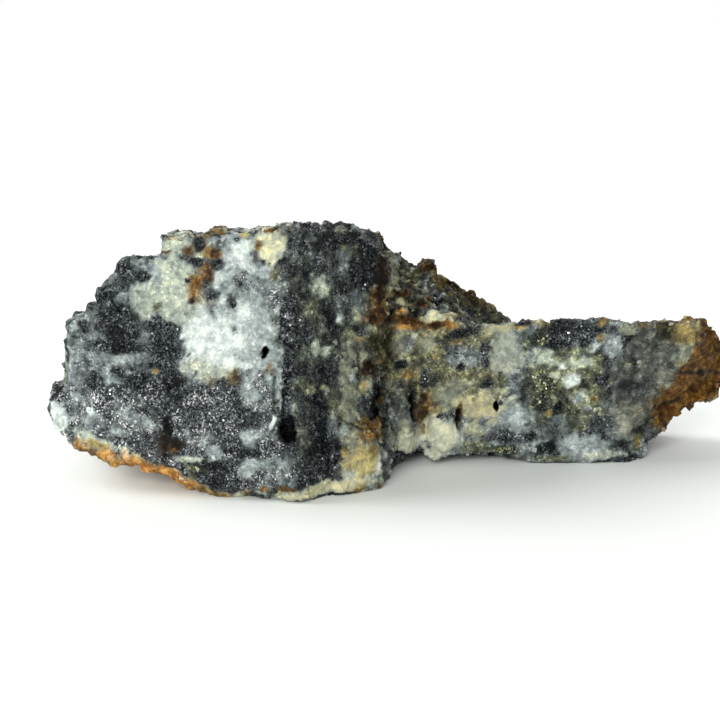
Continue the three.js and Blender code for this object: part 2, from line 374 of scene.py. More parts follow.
ARM_FACE = painted(
    (Mineral.SPECKLE, (81.5, 21, 13.5, 9.5)),
    (Mineral.UMBER_OLIVE, (69, 26, 2, 7)),
    (Mineral.BEIGE, (72.5, 25, 1.8, 3)),
    (Mineral.ROUGH_DARK, (73, 17.5, 2, 2)),
    (Mineral.GREY_CLOUD, (72.6, 13.5, 2.2, 3.5)),
    (Mineral.GREY_GLASS, (72.5, 8.5, 2.5, 2)),
    (Mineral.CREAMY_WHITE, (73.7, 5.8, 3.2, 2.4)),
    (Mineral.DARK_ORE, (72.2, 21.3, 1.2, 0.7)),
    (Mineral.OCHRE, (73.8, 19.6, 1.6, 0.9)),
    (Mineral.STRIP_RUST, (73.2, 29.2, 2.9, 0.9)),
    (Mineral.OCHRE, (76, 30, 1.1, 1.4)),
    (Mineral.OCHRE_CREAM, (79.6, 30.8, 3.2, 1.8)),
    (Mineral.RUST, (82.3, 29.4, 1.7, 0.7), (75.8, 29.4, 1.4, 0.9)),
    (Mineral.DARK_RUST, (79, 29.3, 2.6, 0.6)),
    (Mineral.OCHRE_CREAM, (75.2, 27.2, 0.6, 0.9)),
    (Mineral.BLUE_GREY, (74, 25.5, 1.3, 1.5)),
    (Mineral.BEIGE, (77.7, 26, 2.2, 1.8, 40)),
    (Mineral.DARK_ORE, (85.2, 27.8, 3.2, 0.8, 12)),
    (Mineral.OCHRE, (83.7, 26.2, 1.2, 0.4, 10)),
    (Mineral.BLUE_GREY, (86, 23, 4.5, 2.4)),
    (Mineral.SMEAR, (89, 25, 1.1, 1.1), (89.7, 22, 0.8, 1.3)),
    (Mineral.BLACK_ORE, (84.8, 20.8, 0.5, 0.5)),
    (Mineral.ICE, (86.6, 21.5, 1, 0.9)),
    (Mineral.OCHRE, (79.6, 22.6, 0.5, 0.5)),
    (Mineral.OCHRE_CREAM, (81, 23.6, 0.5, 0.5)),
    (Mineral.DARK_OLIVE, (80, 18, 1.2, 0.9)),
    (Mineral.SMEAR, (77.2, 17.8, 0.9, 1.9)),
    (Mineral.GREY_GLASS, (83.5, 16.5, 3.5, 1.8)),
    (Mineral.OCHRE_CREAM, (86.3, 17.5, 0.7, 0.5)),
    (Mineral.DARK_ORE, (90, 17.4, 1, 1.3)),
    (Mineral.PEARL, (94, 23.8, 3.6, 4.8)),
    (Mineral.ROSE_CREAM, (92.8, 28.6, 4, 1.1)),
    (Mineral.OCHRE, (96.6, 29, 1.5, 0.6)),
    (Mineral.OLIVE, (98, 25, 0.5, 3)),
    (Mineral.BLUE_GREY, (96.3, 17.8, 1.8, 2.4)),
    (Mineral.DARK_ORE, (97.7, 15.5, 0.9, 2)),
    (Mineral.BLACK_ORE, (97, 14, 0.5, 0.5), (97.2, 29.9, 2, 0.7), (100.8, 30, 1.4, 0.6)),
    (Mineral.GREY_GLASS, (81.5, 14.3, 3.4, 2.2)),
    (Mineral.PEARL, (95, 13.2, 2.6, 2.2)),
    (Mineral.ROSE_CREAM, (89.2, 12.6, 5.4, 3.1)),
    (Mineral.BEIGE, (92.5, 16, 1.5, 1)),
    (Mineral.ICE, (96.2, 10.3, 3.4, 3.2)),
    (Mineral.PALE_ICE, (97.3, 9, 1.3, 1)),
    (Mineral.TAN_BROWN, (77.2, 11.2, 1.5, 3.6)),
    (Mineral.PIT_SHADE, (75.3, 13, 0.6, 3.4)),
    (Mineral.OCHRE, (79, 12.4, 1.8, 0.8, -30)),
    (Mineral.CREAMY_WHITE, (80.7, 6.4, 3.9, 5.4)),
    (Mineral.OCHRE_CREAM, (78.3, 9, 0.9, 2)),
    (Mineral.UMBER, (84.4, 10.2, 0.6, 2.4)),
    (Mineral.MILKY, (84.4, 5.6, 0.9, 1.6)),
    (Mineral.BEIGE, (87.6, 7.2, 2.4, 2)),
    (Mineral.OLIVE_PALE, (88.5, 3.8, 3, 1.4)),
    (Mineral.SPARKLE, (94, 5.8, 3.6, 1.5)),
    (Mineral.DARK_ORE, (99.3, 6, 0.9, 0.9)),
    (Mineral.DARK_OLIVE, (94, 3.2, 3.6, 1.2)),
    (Mineral.PIT_SHADE, (91.9, 12.6, 0.5, 0.7), (74.7, 7.5, 0.4, 0.4)),
)
ARM_MIDDLE = painted(
    (Mineral.OLIVE_PALE, (106.5, 16.5, 8.5, 9)),
    (Mineral.CREAM, (102.3, 30.2, 3.8, 1.1, 6)),
    (Mineral.DARK_ORE, (105, 27, 6, 2, 5)),
    (Mineral.DARK_OLIVE, (101, 26.3, 2, 1.4)),
    (Mineral.SPARKLE, (109.3, 27.5, 3.3, 1.3)),
    (Mineral.BLACK_ORE, (103.5, 24.9, 1.2, 0.4)),
    (Mineral.OCHRE, (113.3, 29.2, 0.9, 0.9), (113.2, 26.4, 0.8, 0.8)),
    (Mineral.DARK_ORE, (115.8, 27.8, 0.9, 0.8)),
    (Mineral.GREENISH, (101.8, 22, 2.8, 1.9)),
    (Mineral.OLIVE, (105, 22, 0.9, 0.9)),
    (Mineral.GREENISH, (108.5, 21.5, 3, 1.8)),
    (Mineral.OLIVE, (108.5, 22.3, 0.6, 0.5), (112.8, 22.2, 0.9, 0.8)),
    (Mineral.MILKY, (111.8, 24.2, 1, 0.4, 45), (105.3, 20.3, 0.6, 0.6)),
    (Mineral.DARK_OLIVE, (101.5, 15.8, 2.8, 3.8)),
    (Mineral.CREAMY_WHITE, (103.9, 18.5, 1, 0.7)),
    (Mineral.BLACK_ORE, (105.1, 12.3, 1.8, 0.8, 65)),
    (Mineral.OCHRE, (103, 11, 0.7, 0.7)),
    (Mineral.MILKY, (107.6, 18, 1.9, 1.7)),
    (Mineral.DARK_ORE, (113.8, 17.5, 1.2, 0.9)),
    (Mineral.BLUE_GREY, (116.8, 19.3, 1.2, 1)),
    (Mineral.OCHRE, (112.3, 14, 0.7, 0.6)),
    (Mineral.ICE, (109, 13.8, 1.6, 1.2), (110.8, 11.7, 1.2, 0.9)),
    (Mineral.OLIVE, (113.5, 11, 1.3, 0.9), (109.3, 7.3, 1.8, 0.6)),
    (Mineral.BLUE_GREY, (105, 9, 1.9, 1.4)),
    (Mineral.DARK_OLIVE, (107.5, 9.5, 0.8, 1.5), (118.8, 20.5, 0.7, 2)),
    (Mineral.BLACK_ORE, (103.2, 3.7, 2.2, 1.2, 25)),
    (Mineral.ICE, (107.3, 4.5, 2.3, 1.7)),
    (Mineral.OLIVE_PALE, (104, 1.2, 4, 0.6)),
)
ARM_END = painted(
    (Mineral.GREY_CLOUD, (123.5, 16.5, 7.5, 12.5)),
    (Mineral.ICE, (115.8, 24.8, 1.8, 2.4)),
    (Mineral.BEIGE, (118.5, 28, 1.8, 1.1)),
    (Mineral.TAN, (122.3, 29, 2, 0.8)),
    (Mineral.UMBER_OLIVE, (126.2, 27.5, 2.4, 1.4, 90)),
    (Mineral.GREY_CLOUD, (124, 23, 5.5, 3)),
    (Mineral.SMOKE, (119.5, 16.5, 3, 1.7)),
    (Mineral.DARK_OLIVE, (119.8, 21.5, 1, 0.9)),
    (Mineral.HAZE, (119, 9, 3.4, 3.2)),
    (Mineral.ICE, (112, 3, 6, 2.6)),
    (Mineral.WARM_ICE, (116, 1.8, 5, 1.2)),
    (Mineral.SMOKE, (118, 4, 1.9, 1)),
    (Mineral.UMBER_OLIVE, (122.3, 4.5, 1, 2.3)),
    (Mineral.BROWN, (136.5, 16, 15, 7, 58), (138, 26.5, 4, 4.5)),
    (Mineral.TAN, (130, 27.6, 3.8, 2.2)),
    (Mineral.CREAM, (131.5, 23.4, 1, 1.2), (132.8, 29, 1, 0.8)),
    (Mineral.TAN, (132.4, 25.6, 2, 1.1, 20), (130.6, 21.6, 1.6, 0.8, 30)),
    (Mineral.ORANGE_BROWN, (127.6, 16.8, 3.4, 1.3, 42), (129, 13.8, 5, 2, 20)),
    (Mineral.UMBER, (136, 17.7, 4.5, 0.4, -12), (135.5, 26.5, 1.5, 0.5, -15), (129.7, 11.3, 2.6, 0.5, 15)),
    (Mineral.GREY_GLASS, (130.8, 23.3, 1.5, 1.8)),
    (Mineral.HAZE, (127, 18, 2.5, 2.5)),
    (Mineral.UMBER_OLIVE, (126.4, 28.2, 1.6, 1.6)),
    (Mineral.TAN_BROWN, (136.5, 15.2, 2.8, 1.1, 10), (126, 10, 1.5, 0.9)),
    (Mineral.UMBER, (134.5, 17.7, 3.8, 0.35, -20)),
    (Mineral.PIT_SHADE, (123.8, 7.3, 1.8, 0.9)),
    (Mineral.TAN, (122.3, 4.2, 0.8, 1.6)),
)
ORE_FACE = painted(
    (Mineral.SPARKLE, (26, 12, 27, 11, -6)),
    (Mineral.BLUE_GREY, (12, 28.5, 10, 12.5)),
    (Mineral.GREENISH, (28, 40, 5.5, 6.2)),
    (Mineral.PALE_ICE, (24.3, 41.5, 1.6, 2.8)),
    (Mineral.GREENISH, (22.5, 37, 3, 3.3)),
    (Mineral.ICE, (18.5, 38, 1.8, 1.5)),
    (Mineral.BLUE_GREY, (21.5, 43.5, 2.5, 1.2, 20)),
    (Mineral.DARK_ORE, (19, 43, 1, 0.9), (22.5, 41.8, 1, 0.8), (17.5, 32.5, 4.2, 5)),
    (Mineral.BLACK_ORE, (15.2, 38.2, 1.5, 1.4), (17, 35.2, 2.2, 1.2)),
    (Mineral.DARK_ORE, (19.5, 32.5, 1.5, 1.8), (10.2, 32, 1, 1.1)),
    (Mineral.ICE, (8.4, 31.5, 0.8, 1)),
    (Mineral.BLACK_ORE, (16.3, 28.6, 2.9, 1.2)),
    (Mineral.DARK_ORE, (21.5, 28.5, 1.4, 0.8)),
    (Mineral.BLACK_ORE, (25.4, 32.3, 1.9, 1.4)),
    (Mineral.OLIVE_PALE, (28, 32.2, 0.8, 0.7), (25.2, 36.2, 0.9, 0.9)),
    (Mineral.DARK_ORE, (27, 28.5, 2.7, 2.2)),
    (Mineral.BLACK_ORE, (27.8, 29.7, 1, 1)),
    (Mineral.ICE, (17.5, 26, 4.5, 1)),
    (Mineral.SMEAR, (26.5, 25.2, 3.5, 0.9)),
    (Mineral.BRIGHT_SPARKLE, (8.8, 25, 1.7, 2.4), (7.3, 22.5, 1.4, 1.5)),
    (Mineral.BLACK_ORE, (12.3, 21, 1.8, 1.3)),
    (Mineral.PINK_ORE, (12.2, 19.5, 0.9, 0.7)),
    (Mineral.ICE, (15.8, 20.8, 1.5, 2.4), (7.7, 19, 2.6, 0.9, 60)),
    (Mineral.DARK_ORE, (17.3, 23.5, 1, 0.7)),
    (Mineral.BLACK_ORE, (21.5, 21.6, 2.5, 1.8)),
    (Mineral.DARK_ORE, (20, 24.2, 0.8, 0.6)),
    (Mineral.OCHRE, (24.8, 24, 0.7, 0.6)),
    (Mineral.BLACK_ORE, (28.2, 22.4, 2.3, 2.4)),
    (Mineral.UMBER, (29, 22.5, 0.6, 1)),
    (Mineral.OLIVE_PALE, (4.8, 22, 0.5, 2.8)),
    (Mineral.SPARKLE, (20, 16, 12, 4.5, -8), (36, 15, 9, 6.5, -6)),
    (Mineral.BRIGHT_SPARKLE, (10, 17.3, 3.6, 2), (11, 13.2, 4, 2.2, -6), (19.5, 14.5, 4.5, 3.5),
     (44.5, 21, 3.5, 4), (46.5, 13, 1.9, 2.1), (33.5, 19, 2, 1.2), (33, 11.5, 2.5, 2)),
    (Mineral.SMEAR, (42.5, 16, 2.6, 1.8)),
    (Mineral.MILKY, (11.4, 15.3, 0.7, 0.7), (47.5, 15.2, 1.6, 0.5, 60), (4.4, 12.6, 2.6, 3.6)),
    (Mineral.DARK_ORE, (28, 19.5, 2.8, 0.7)),
    (Mineral.PIT_SHADE, (27.2, 13.7, 0.9, 1.9)),
    (Mineral.UMBER, (26.9, 9.9, 2.5, 1.7)),
    (Mineral.RUST, (28, 8.8, 0.6, 0.4)),
    (Mineral.GREENISH, (13.5, 9.4, 8, 1, -14)),
    # Rust strip along the block's underside, painted paler than its own colour to stand in for light bounced
    # up from the floor.
    (Mineral.STRIP_RUST, (24.5, 4.3, 15.5, 2.1, -14)),
    (Mineral.TAN, (12.5, 9.2, 2, 0.6, -10)),
    (Mineral.BROWN, (12, 7.4, 2.5, 0.6, -14)),
    (Mineral.OCHRE, (35.5, 1.9, 2.5, 0.9, -15)),
    (Mineral.CREAM, (28, 2.4, 3, 0.4, -18)),
    (Mineral.BRIGHT_SPARKLE, (47.5, 6.2, 5.5, 3)),
    (Mineral.ICE, (36.5, 8.9, 2, 1.2)),
    (Mineral.GREENISH, (31.3, 7.5, 3.3, 0.5, 4)),
    (Mineral.DARK_ORE, (35.5, 6, 3, 0.6)),
    (Mineral.OLIVE_PALE, (31.5, 5.8, 2.5, 0.9, -10)),
    (Mineral.DARK_ORE, (36.3, 3.7, 2.4, 1.1, -15)),
    (Mineral.ICE, (42.2, 6.5, 1.9, 1.9), (42.5, 11.9, 1.5, 1.9)),
    (Mineral.DARK_ORE, (42.5, 9.3, 2.5, 0.5)),
    (Mineral.BLUE_GREY, (52.5, 8, 2.1, 1.6), (53.4, 16, 1.4, 2.4)),
    (Mineral.GREENISH, (52.8, 12, 2.1, 1)),
    (Mineral.MILKY, (54.3, 17.5, 0.4, 0.4)),
)
WHITE_VEIN = painted(
    (Mineral.PALE_ICE, (44, 31, 6, 6)),
    (Mineral.GREENISH, (31, 35.2, 3.4, 2, 35)),
    (Mineral.MILKY, (33.8, 33.5, 3.8, 2, 40), (36, 29.5, 6, 5.5)),
    (Mineral.WARM_ICE, (34.5, 24.8, 4.5, 1.8)),
    (Mineral.PALE_ICE, (40, 44.4, 3.6, 5)),
    (Mineral.MILKY, (37.2, 42, 1.3, 1.8)),
    (Mineral.ICE, (43.2, 38, 3.2, 2.1)),
    (Mineral.MILKY, (41.3, 35.3, 1.7, 2.4)),
    (Mineral.ICE, (38.7, 37.6, 1.9, 2.9)),
    (Mineral.SMEAR, (39.8, 38, 0.7, 0.9), (32.7, 24, 0.5, 0.4)),
    (Mineral.MILKY, (37.8, 38, 0.4, 0.4)),
    (Mineral.BLUE_GREY, (40.2, 32.3, 0.5, 0.8)),
    (Mineral.PALE_ICE, (45.6, 43.6, 2, 1.2)),
    (Mineral.PINK_ORE, (42, 41.8, 2.2, 1.1), (44.7, 40.4, 2.4, 1.2), (47.9, 38.5, 1.2, 2.6),
     (48.2, 35, 1.2, 2.2)),
    (Mineral.MILKY, (41.8, 47, 1.9, 2)),
    (Mineral.DARK_ORE, (46.3, 45.5, 1.1, 0.6)),
    (Mineral.BLACK_ORE, (49.2, 45.3, 0.9, 0.4)),
)
BLOCK_TOP = painted(
    (Mineral.GREENISH, (29, 48.4, 3, 1.8)),
    (Mineral.UMBER, (27.3, 46.7, 0.9, 0.3)),
    (Mineral.RUST, (31.4, 46.9, 0.9, 0.8)),
    (Mineral.DARK_ORE, (33.6, 48.4, 1.1, 1.6)),
    (Mineral.BLUE_GREY, (36.8, 48.7, 1.6, 1)),
    (Mineral.DARK_RUST, (36.1, 46.5, 1.2, 1.1)),
    (Mineral.DARK_ORE, (33, 44.9, 0.9, 0.7)),
    (Mineral.GREENISH, (33.5, 46, 0.7, 0.5)),
    (Mineral.SMEAR, (36.9, 44.3, 1.6, 1)),
    (Mineral.DARK_RUST, (34.9, 42.8, 1, 2)),
    (Mineral.RUST, (32.8, 40.4, 1.4, 2.6), (32.5, 40.4, 0.6, 0.6)),
    (Mineral.UMBER, (32.1, 37.5, 0.5, 0.5)),
    (Mineral.DARK_ORE, (31.1, 41.2, 0.4, 0.4)),
    (Mineral.CREAM, (42.3, 50, 0.8, 0.7)),
    (Mineral.OCHRE_CREAM, (47.2, 48.4, 3.4, 2.6)),
    (Mineral.OCHRE, (44.8, 48.2, 0.6, 1)),
    (Mineral.RUST, (46.3, 50.9, 1.4, 0.3)),
    (Mineral.OCHRE, (50, 50.3, 0.4, 0.6)),
    (Mineral.UMBER, (49.8, 45.8, 0.6, 0.4)),
)
DARK_FACE = painted(
    (Mineral.DARK_MIX, (57.5, 29.5, 8.5, 22), (57.5, 10.5, 7, 8)),
    (Mineral.SPARKLE, (54, 5, 3.5, 2.5)),
    (Mineral.ROUGH_DARK, (65, 42.5, 4.5, 6)),
    (Mineral.SPARKLE, (53, 48.5, 2, 2.5)),
    (Mineral.BLACK_ORE, (50.7, 48.5, 0.3, 1)),
    (Mineral.SPARKLE, (57, 43.8, 1.6, 2.3)),
    (Mineral.BLUE_GREY, (60.9, 43, 1.5, 3.5)),
    (Mineral.BLACK_ORE, (63.9, 41.3, 1.9, 2.7)),
    (Mineral.BROWN, (68, 36, 2, 3)),
    (Mineral.OLIVE_PALE, (66.3, 42.7, 2.4, 0.9, -65)),
    (Mineral.UMBER, (67.7, 43.2, 2.8, 0.8, -60)),
    (Mineral.OLIVE, (67, 45.5, 0.7, 0.5)),
    (Mineral.BEIGE, (70.3, 38.3, 1.2, 2.1), (71, 41.5, 0.8, 1.5)),
    (Mineral.DARK_RUST, (67.5, 32.3, 2.9, 1.5)),
    (Mineral.ROUGH_DARK, (64.7, 37.3, 1.2, 1.5)),
    (Mineral.GREENISH, (56.3, 40, 1.5, 2.4)),
    (Mineral.OLIVE_PALE, (55, 35.8, 1.3, 2.3)),
    (Mineral.DARK_ORE, (60.5, 38.6, 1, 0.8)),
    (Mineral.BLUE_GREY, (60, 35.5, 1.2, 2.4), (63.5, 36, 1.4, 2.7)),
    (Mineral.BLACK_ORE, (58.5, 33.7, 3.2, 0.9, -60)),
    (Mineral.MILKY, (60.3, 33, 0.3, 0.5)),
    (Mineral.OLIVE_PALE, (61.8, 29.8, 1.6, 0.6)),
    (Mineral.GREENISH, (55.6, 28.6, 0.7, 1.6)),
    (Mineral.WARM_ICE, (57.7, 27.5, 1.2, 1)),
    (Mineral.GREY_GLASS, (62.7, 27.5, 1.8, 1.9)),
    (Mineral.UMBER_OLIVE, (67.5, 27.2, 2.4, 2.2)),
    (Mineral.GREY_GLASS, (61.3, 23, 1.4, 2.2)),
    (Mineral.UMBER, (65.5, 23, 1.8, 1.6)),
    (Mineral.OCHRE, (68, 23.5, 0.5, 0.5)),
    (Mineral.CREAM, (64.9, 19.6, 1.1, 1.9)),
    (Mineral.BLACK_ORE, (57.3, 23.2, 1.8, 1.7), (49.6, 35.8, 0.35, 3.7), (52.2, 32.3, 0.35, 2.2),
     (50.2, 27.7, 0.4, 1.8)),
    (Mineral.SPARKLE, (51, 34.8, 0.9, 4)),
    (Mineral.SMEAR, (54, 33, 0.7, 1.7)),
    (Mineral.OLIVE_PALE, (48.5, 43, 1, 1.5)),
    (Mineral.OLIVE, (54.2, 21.6, 1.3, 1.2)),
    (Mineral.OLIVE_PALE, (56.2, 20.8, 1.2, 1.1)),
    (Mineral.BLUE_GREY, (49.5, 22.5, 1.1, 0.8)),
    (Mineral.BLACK_ORE, (49.5, 18, 0.4, 2.5), (56.1, 13.8, 1.2, 5.6), (57.7, 7.5, 2.2, 2.8)),
    (Mineral.OLIVE_PALE, (58.8, 17.8, 1, 2.2)),
    (Mineral.BLUE_GREY, (58.8, 13.3, 1.1, 1.9)),
    (Mineral.GREY_GLASS, (61.7, 16.5, 1.9, 6)),
    (Mineral.ICE, (62, 21.8, 0.8, 0.7), (60.7, 12.8, 0.8, 0.9)),
    (Mineral.BLUE_GREY, (64.2, 15.8, 0.8, 1.6)),
    (Mineral.PIT_SHADE, (67, 15, 0.8, 4.5)),
    (Mineral.RUST, (66, 11.7, 2, 1.9)),
    (Mineral.TAN, (63.8, 12, 0.8, 1)),
    (Mineral.CREAM, (64.3, 6.4, 3.8, 3.8)),
    (Mineral.OCHRE, (61, 8.7, 0.6, 1.1)),
    (Mineral.TAN, (66.7, 8.2, 1.3, 1.2)),
    (Mineral.GREENISH, (61.8, 4, 1.3, 1)),
    (Mineral.MILKY, (68, 5.2, 0.6, 1.8)),
    (Mineral.BLUE_GREY, (50, 3.8, 3.5, 0.7)),
    (Mineral.CREAM_QUARTZ, (56.5, 1.6, 9.8, 1.3, 3)),
    (Mineral.RUST, (50, 2.6, 1.6, 0.4), (45.4, 2.5, 1, 0.5)),
    (Mineral.ORE, (44.2, 0.6, 2.6, 1.1)),
    (Mineral.CREAMY_WHITE, (40.8, 0.5, 1, 1)),
    (Mineral.BLACK_ORE, (59, 0.1, 3.4, 0.3)),
    (Mineral.PIT_SHADE, (50.2, 13.6, 1.5, 2.6)),
)
BLOCK_RIM = painted(
    (Mineral.BEIGE, (63.4, 33.2, 1, 1.4), (66.2, 30.2, 1.2, 0.8), (64.6, 24.8, 0.9, 1.3)),
    (Mineral.TAN, (69.6, 34.6, 0.9, 1.6), (64.2, 28.6, 0.6, 0.7)),
    (Mineral.BLACK_ORE, (50.3, 24, 0.8, 7.5), (66, 44.8, 3, 1.6, -60), (65.4, 40.5, 1.6, 2.4)),
    (Mineral.UMBER, (68.6, 40.5, 1.6, 5)),
    (Mineral.OLIVE_PALE, (56.8, 50.3, 1.4, 0.7)),
    (Mineral.DARK_ORE, (60.5, 48.4, 5, 1.7)),
    (Mineral.OLIVE, (62, 50, 2, 0.5)),
    (Mineral.OCHRE_CREAM, (63, 50, 0.8, 0.4)),
    (Mineral.PALE_ICE, (64.7, 48.1, 1.4, 0.5)),
    (Mineral.OLIVE, (61, 46.9, 0.8, 0.7)),
    (Mineral.TAN, (63.2, 46.6, 0.4, 0.4)),
    (Mineral.UMBER, (67.2, 47.4, 2, 1.3, -40)),
    (Mineral.RUST, (70.7, 46.2, 0.7, 1.2)),
    (Mineral.PIT_SHADE, (45.9, 28.4, 0.5, 0.9, -25)),
)
FRONT = (*ARM_FACE, *ARM_MIDDLE, *ARM_END, *ORE_FACE, *WHITE_VEIN, *BLOCK_TOP, *DARK_FACE, *BLOCK_RIM)


@dataclass(frozen=True)
class Dent(Oval):
    """A pit, a groove or, with a negative depth, a low swelling on the front of the stone."""

    depth: float
    turn: float = 0.0
    square: bool = False
    sharp: bool = False  # needs a finer mesh than the rest

    @property
    def finer_reach(self) -> float:
        """How far around its middle a sharp dent needs the finer mesh."""
        return 1.6 * max(self.half_length, self.half_width) + 0.4

    def depths(self, along: np.ndarray, up: np.ndarray, warp: np.ndarray) -> np.ndarray:
        """How far each point sinks.

        Args:
            along: distance of each point from the left end.
            up: height of each point.
            warp: three columns of noise that make the rim uneven.

        Returns:
            One depth in millimetres for each point.
        """
        sway = 0.0 if self.square else 0.3 * min(self.half_length, self.half_width)
        across, upwards = self.local(along, up, warp, sway, self.turn)
        reach = np.maximum(np.abs(across), np.abs(upwards)) if self.square else np.hypot(across, upwards)
        return self.depth * (1 - ramp(reach, 0.55, 1.25))


DENTS = (
    Dent(45.8, 28.4, 0.5, 0.85, 2.6, turn=-33, square=True, sharp=True),  # lozenge hole of a lost crystal
    Dent(50.5, 14, 1.6, 2.6, 1.3),
    Dent(47.8, 21.2, 0.4, 2.6, 1.3, sharp=True),
    Dent(36.5, 6, 4, 0.6, 0.4, turn=-4),
    Dent(59.5, 32, 1.3, 1.8, 0.9),
    Dent(67.8, 16, 0.8, 5, 0.8),
    Dent(75.3, 12.5, 0.8, 4.5, 0.9),
    Dent(84.4, 10.2, 0.7, 2.4, 1.3),
    Dent(91.9, 12.6, 0.55, 0.85, 2.4, sharp=True),
    Dent(92.3, 14.3, 0.25, 1.2, 0.8, turn=-12, sharp=True),
    Dent(87.3, 14, 0.35, 0.35, 1, sharp=True),
    Dent(74.8, 7.5, 0.4, 0.4, 1.5, sharp=True),
    Dent(125, 6.5, 2.2, 1.6, 1.8),
    Dent(106, 26.5, 7, 2.2, 0.5, turn=12),
    Dent(35.5, 8.2, 6, 1.4, -0.7, turn=4),
    Dent(42, 5.5, 2.2, 1.8, -0.5),
    Dent(79.5, 31, 2.3, 1.5, -0.6),
    Dent(81, 6.5, 3.6, 4.5, -0.8),
    Dent(72.5, 6.5, 3.2, 3, -0.6),
    Dent(61.5, 17, 3, 7, -0.5),
    Dent(107, 17.5, 2.6, 2.2, -0.4),
    Dent(100, 30.5, 5, 1.6, -1.0),
    Dent(97.5, 30.2, 1.8, 1.1, -0.8),  # two dark knobs on the arm's top edge
    Dent(101.2, 30.2, 1.6, 1.1, -0.7),
    Dent(108, 30, 8, 1.8, -0.8),
    Dent(15, 41, 7, 3, -1.0, turn=42),
    Dent(8, 34.8, 2.6, 2.2, 1.3),
    Dent(22, 45, 2.5, 1.5, -0.7),
    Dent(12, 7.3, 5, 1.5, -1.2, turn=-14),
    Dent(4.2, 26, 3, 8, 1.9),
    Dent(75, 39, 3, 2.2, 0.8),
    Dent(79.4, 38.6, 2.6, 1.8, 0.3),
    Dent(80.6, 38.2, 1.3, 1.5, -1.2),
    Dent(85.5, 33.8, 3.4, 2, 1.4, turn=-35),
    Dent(137.5, 14, 3.5, 2, 1.2),
    Dent(127.5, 9, 4, 2, 1.3),
    Dent(136, 12.5, 5, 2, 0.9),
    Dent(133, 30, 2.5, 1.5, -0.9),
    Dent(34, 2.5, 8, 2.5, -1.6, turn=-10),
    Dent(20, 5.5, 6, 2, -0.8, turn=-14),
)


# ---- Shader groups ----------------------------------------------------------------------------------
class Canvas:
    """Places and joins the nodes of one tree."""

    def __init__(self, tree: bpy.types.NodeTree) -> None:
        """Keeps the tree to draw in."""
        self.tree = tree

    def feed(self, target: Socket, value: object) -> None:
        """Links a socket to an input, or sets the input to a plain value.

        Args:
            target: the input.
            value: an output socket, a number or a row of numbers.
        """
        if isinstance(value, Socket):
            self.tree.links.new(value, target)
        else:
            target.default_value = value

    def put(self, kind: str, feeds: dict | None = None, **settings: object) -> bpy.types.Node:
        """Adds a node and feeds it.

        Args:
            kind: the node's type name.
            feeds: what goes into its inputs, by the name or the number of each.
            settings: its properties.

        Returns:
            The new node.
        """
        node = self.tree.nodes.new(kind)
        for name, value in settings.items():
            setattr(node, name, value)
        for entry, value in (feeds or {}).items():
            self.feed(node.inputs[entry], value)
        return node

    def math(self, operation: str, first: object, second: object = 0.0, clamp: bool = False) -> Socket:
        """A sum on one or two numbers or sockets, held between 0 and 1 if clamp is set."""
        node = self.put("ShaderNodeMath", {0: first, 1: second}, operation=operation, use_clamp=clamp)
        return node.outputs[0]

    def vector(self, operation: str, feeds: dict) -> Socket:
        """A sum on vectors, with what goes into its inputs by the name or the number of each."""
        return self.put("ShaderNodeVectorMath", feeds, operation=operation).outputs[0]

    def vary(self, base: object, *parts: tuple[Socket, float]) -> Socket:
        """A base number with noises added, each centred on a half.

        Args:
            base: socket or number.
            parts: pairs of a noise from 0 to 1 and its strength.

        Returns:
            The sum's socket.
        """
        total = base
        for noise, strength in parts:
            feeds = {0: noise, 1: strength, 2: -0.5 * strength}
            centred = self.put("ShaderNodeMath", feeds, operation="MULTIPLY_ADD")
            total = self.math("ADD", total, centred.outputs[0])
        return total

    def step(self, value: Socket, low: float, high: float) -> Socket:
        """A smooth step from 0 at low to 1 at high."""
        feeds = {"Value": value, "From Min": low, "From Max": high}
        return self.put("ShaderNodeMapRange", feeds, interpolation_type="SMOOTHSTEP").outputs["Result"]

    def mix(self, share: object, first: object, second: object, blend: str = "MIX") -> Socket:
        """A second colour laid over a first one by a share, in one of Blender's ways to blend."""
        feeds = {"Factor": share, 6: first, 7: second}
        return self.put("ShaderNodeMix", feeds, data_type="RGBA", blend_type=blend).outputs[2]

    def scale_of_colours(self, value: Socket, stops: Stops) -> Socket:
        """Colours picked by a number.

        Args:
            value: the number, from 0 to 1.
            stops: pairs of a place and its colour.

        Returns:
            The colour's socket.
        """
        node = self.put("ShaderNodeValToRGB", {0: value})
        elements = node.color_ramp.elements
        while len(elements) < len(stops):
            elements.new(0.5)
        for element, (place, colour) in zip(elements, stops):
            element.position = place
            element.color = (*colour, 1.0)
        return node.outputs[0]

    def amount(self, name: str) -> Socket:
        """The value of a surface attribute."""
        return self.put("ShaderNodeAttribute", attribute_name=name).outputs["Fac"]

    def cloud(self, place: Socket, size: float, detail: float = 5.0, roughness: float = 0.6,
              kind: str = "FBM") -> Socket:
        """Noise from 0 to 1.

        Args:
            place: position in millimetres.
            size: width of the coarsest blot in millimetres.
            detail: number of finer layers.
            roughness: strength of the finer layers.
            kind: how the layers are summed.

        Returns:
            The noise's socket.
        """
        feeds = {"Vector": place, "Scale": 1 / size, "Detail": detail, "Roughness": roughness}
        return self.put("ShaderNodeTexNoise", feeds, noise_type=kind).outputs["Fac"]


def new_group(name: str, kind: str, given: dict[str, str], made: dict[str, str]) -> tuple[Canvas, Sockets]:
    """An empty node group with its sockets.

    Args:
        name: the group's name.
        kind: the type name of its tree.
        given: the kind of each input, by name.
        made: the kind of each output, by name.

    Returns:
        The group's canvas, and the sockets that hold what the group is given.
    """
    tree = bpy.data.node_groups.new(name, kind)
    for way, entries in (("INPUT", given), ("OUTPUT", made)):
        for entry, socket in entries.items():
            tree.interface.new_socket(entry, in_out=way, socket_type=f"NodeSocket{socket}")
    canvas = Canvas(tree)
    return canvas, canvas.put("NodeGroupInput").outputs


